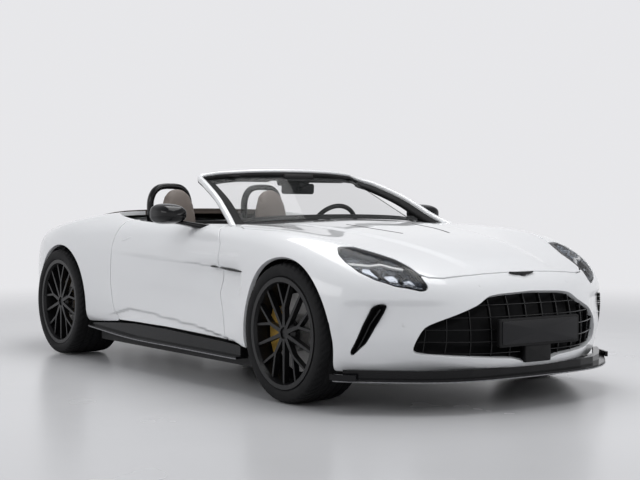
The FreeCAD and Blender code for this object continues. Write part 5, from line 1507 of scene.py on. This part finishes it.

# Low body: gloss black skirts and splitter, with grey strips along their lower edges that paint the
# highlight those edges catch, a gloss black diffuser, bare bright exhaust tips, dark liners, and plain
# steel and cast pieces underneath.
# Grey finish of the strips that paint the highlight along the low black edges.
painted_edge_highlight = Finish("painted_edge_highlight", rgb(0.20, 0.20, 0.21), 0.3, Specular_IOR_Level=0.6)
painted_edge_highlight.worn(60.0, 0.15, 0.2)
carbon = Finish("low_black", rgb(0.006, 0.006, 0.0065), 0.16, Specular_IOR_Level=0.2)
weave = carbon.place.add("ShaderNodeTexChecker", {}, {
    "Vector": carbon.place, "Color1": rgb(0.004, 0.004, 0.0045), "Color2": rgb(0.011, 0.011, 0.012),
    "Scale": 260.0})
carbon.set("Base Color", weave)
carbon.worn(25.0, 0.08, 0.12)
carbon.dress("front_splitter", "side_skirts", "rear_diffuser")
steel = Finish("exhaust_steel", rgb(0.48, 0.47, 0.46), 0.2, Metallic=1.0)
steel.worn(90.0, 0.15, 0.14)
steel.dress("exhaust_tips")
arms = Finish("steel_arms", rgb(0.05, 0.05, 0.052), 0.45, Metallic=0.3)
arms.worn(45.0, 0.2, 0.38)
arms.tinted(12.0, rgb(0.035, 0.035, 0.037), rgb(0.07, 0.07, 0.07))
arms.dress("front_suspension")
cast = Finish("cast_metal", rgb(0.30, 0.31, 0.32), 0.5, Metallic=0.8)
cast.tinted(18.0, rgb(0.22, 0.225, 0.235), rgb(0.36, 0.37, 0.38))
cast.grained(500.0, 0.0006, 0.5, 2.0)
cast.dress("engine", "rear_suspension", "knuckle_front_left", "knuckle_front_right")
under = Finish("structure_dark", rgb(0.02, 0.02, 0.021), 0.7)
under.tinted(8.0, rgb(0.012, 0.012, 0.013), rgb(0.03, 0.03, 0.03))
under.grained(350.0, 0.0008, 0.6, 2.0)
under.dress("chassis_tub", "front_structure", "rear_structure", "wheel_liners")


def painted_highlight_rod(name, line, half_across, half_up):
    """Fine grey strip along a lower edge: a painted highlight where the edge catches the light."""
    way = drawn(line, 90)
    beside_it, above_it = along_path(way, np.array([0, 0, 1.0]))
    rings = swept(way, beside_it, above_it, half_across, half_up)
    return tube(name, [rings], "shell", painted_edge_highlight)


LIP = [(400, 930), (425, 930), (500, 870), (600, 765), (700, 650), (775, 520), (815, 380), (834, 200),
       (838, 0)]
lip = [(x + 0.5, y, 158.5) for x, y in LIP] + [(x + 0.5, -y, 158.5) for x, y in LIP[-2::-1]]
# Painted highlights: grey strips along the splitter's lip and the skirts' lower edges.
painted_highlight_rod("splitter_painted_highlight", lip, 2.5, 2.5)
SKIRT_EDGE = [(-455, 181), (-1080, 184), (-1700, 188), (-2290, 220)]
for side_of, word in SIDES:
    painted_highlight_rod("skirt_edge_" + word, [(x, side_of * 948, z) for x, z in SKIRT_EDGE], 2.2, 2.6)

# Tail: a thin full-width red lamp band in a black surround, and a blank plate in the bumper.
red = Finish("tail_red", rgb(0.42, 0.01, 0.012), 0.12, Coat_Weight=1.0, Specular_IOR_Level=0.6)
ribs = red.place.add("ShaderNodeTexWave", {"wave_type": "BANDS", "bands_direction": "Y"},
                     {"Vector": red.place, "Scale": 40.0})
red.set("Base Color", ribs.mixed(rgb(0.25, 0.004, 0.006), rgb(0.55, 0.02, 0.02)))
red.bump(ribs, 0.0008, 0.5)
lens = inlay("tail_lens", level(1.5), lambda p: tail_band(p) + 3.5, red, 10.0, 5, 1.5, REAR)
surround = inlay("tail_surround", level(6.0), lambda p: tail_band(p) + 0.8, gloss, 14.0, 6, 1.0,
                 REAR)
for piece in (lens, surround):
    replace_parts(piece, "tail_lamps")
slab("plate_rear", oblong(260, 56, 5), (-3636.0, 0, 470), "shell", plate, 12, 1.0,
     turn=(-1, 0, 0))
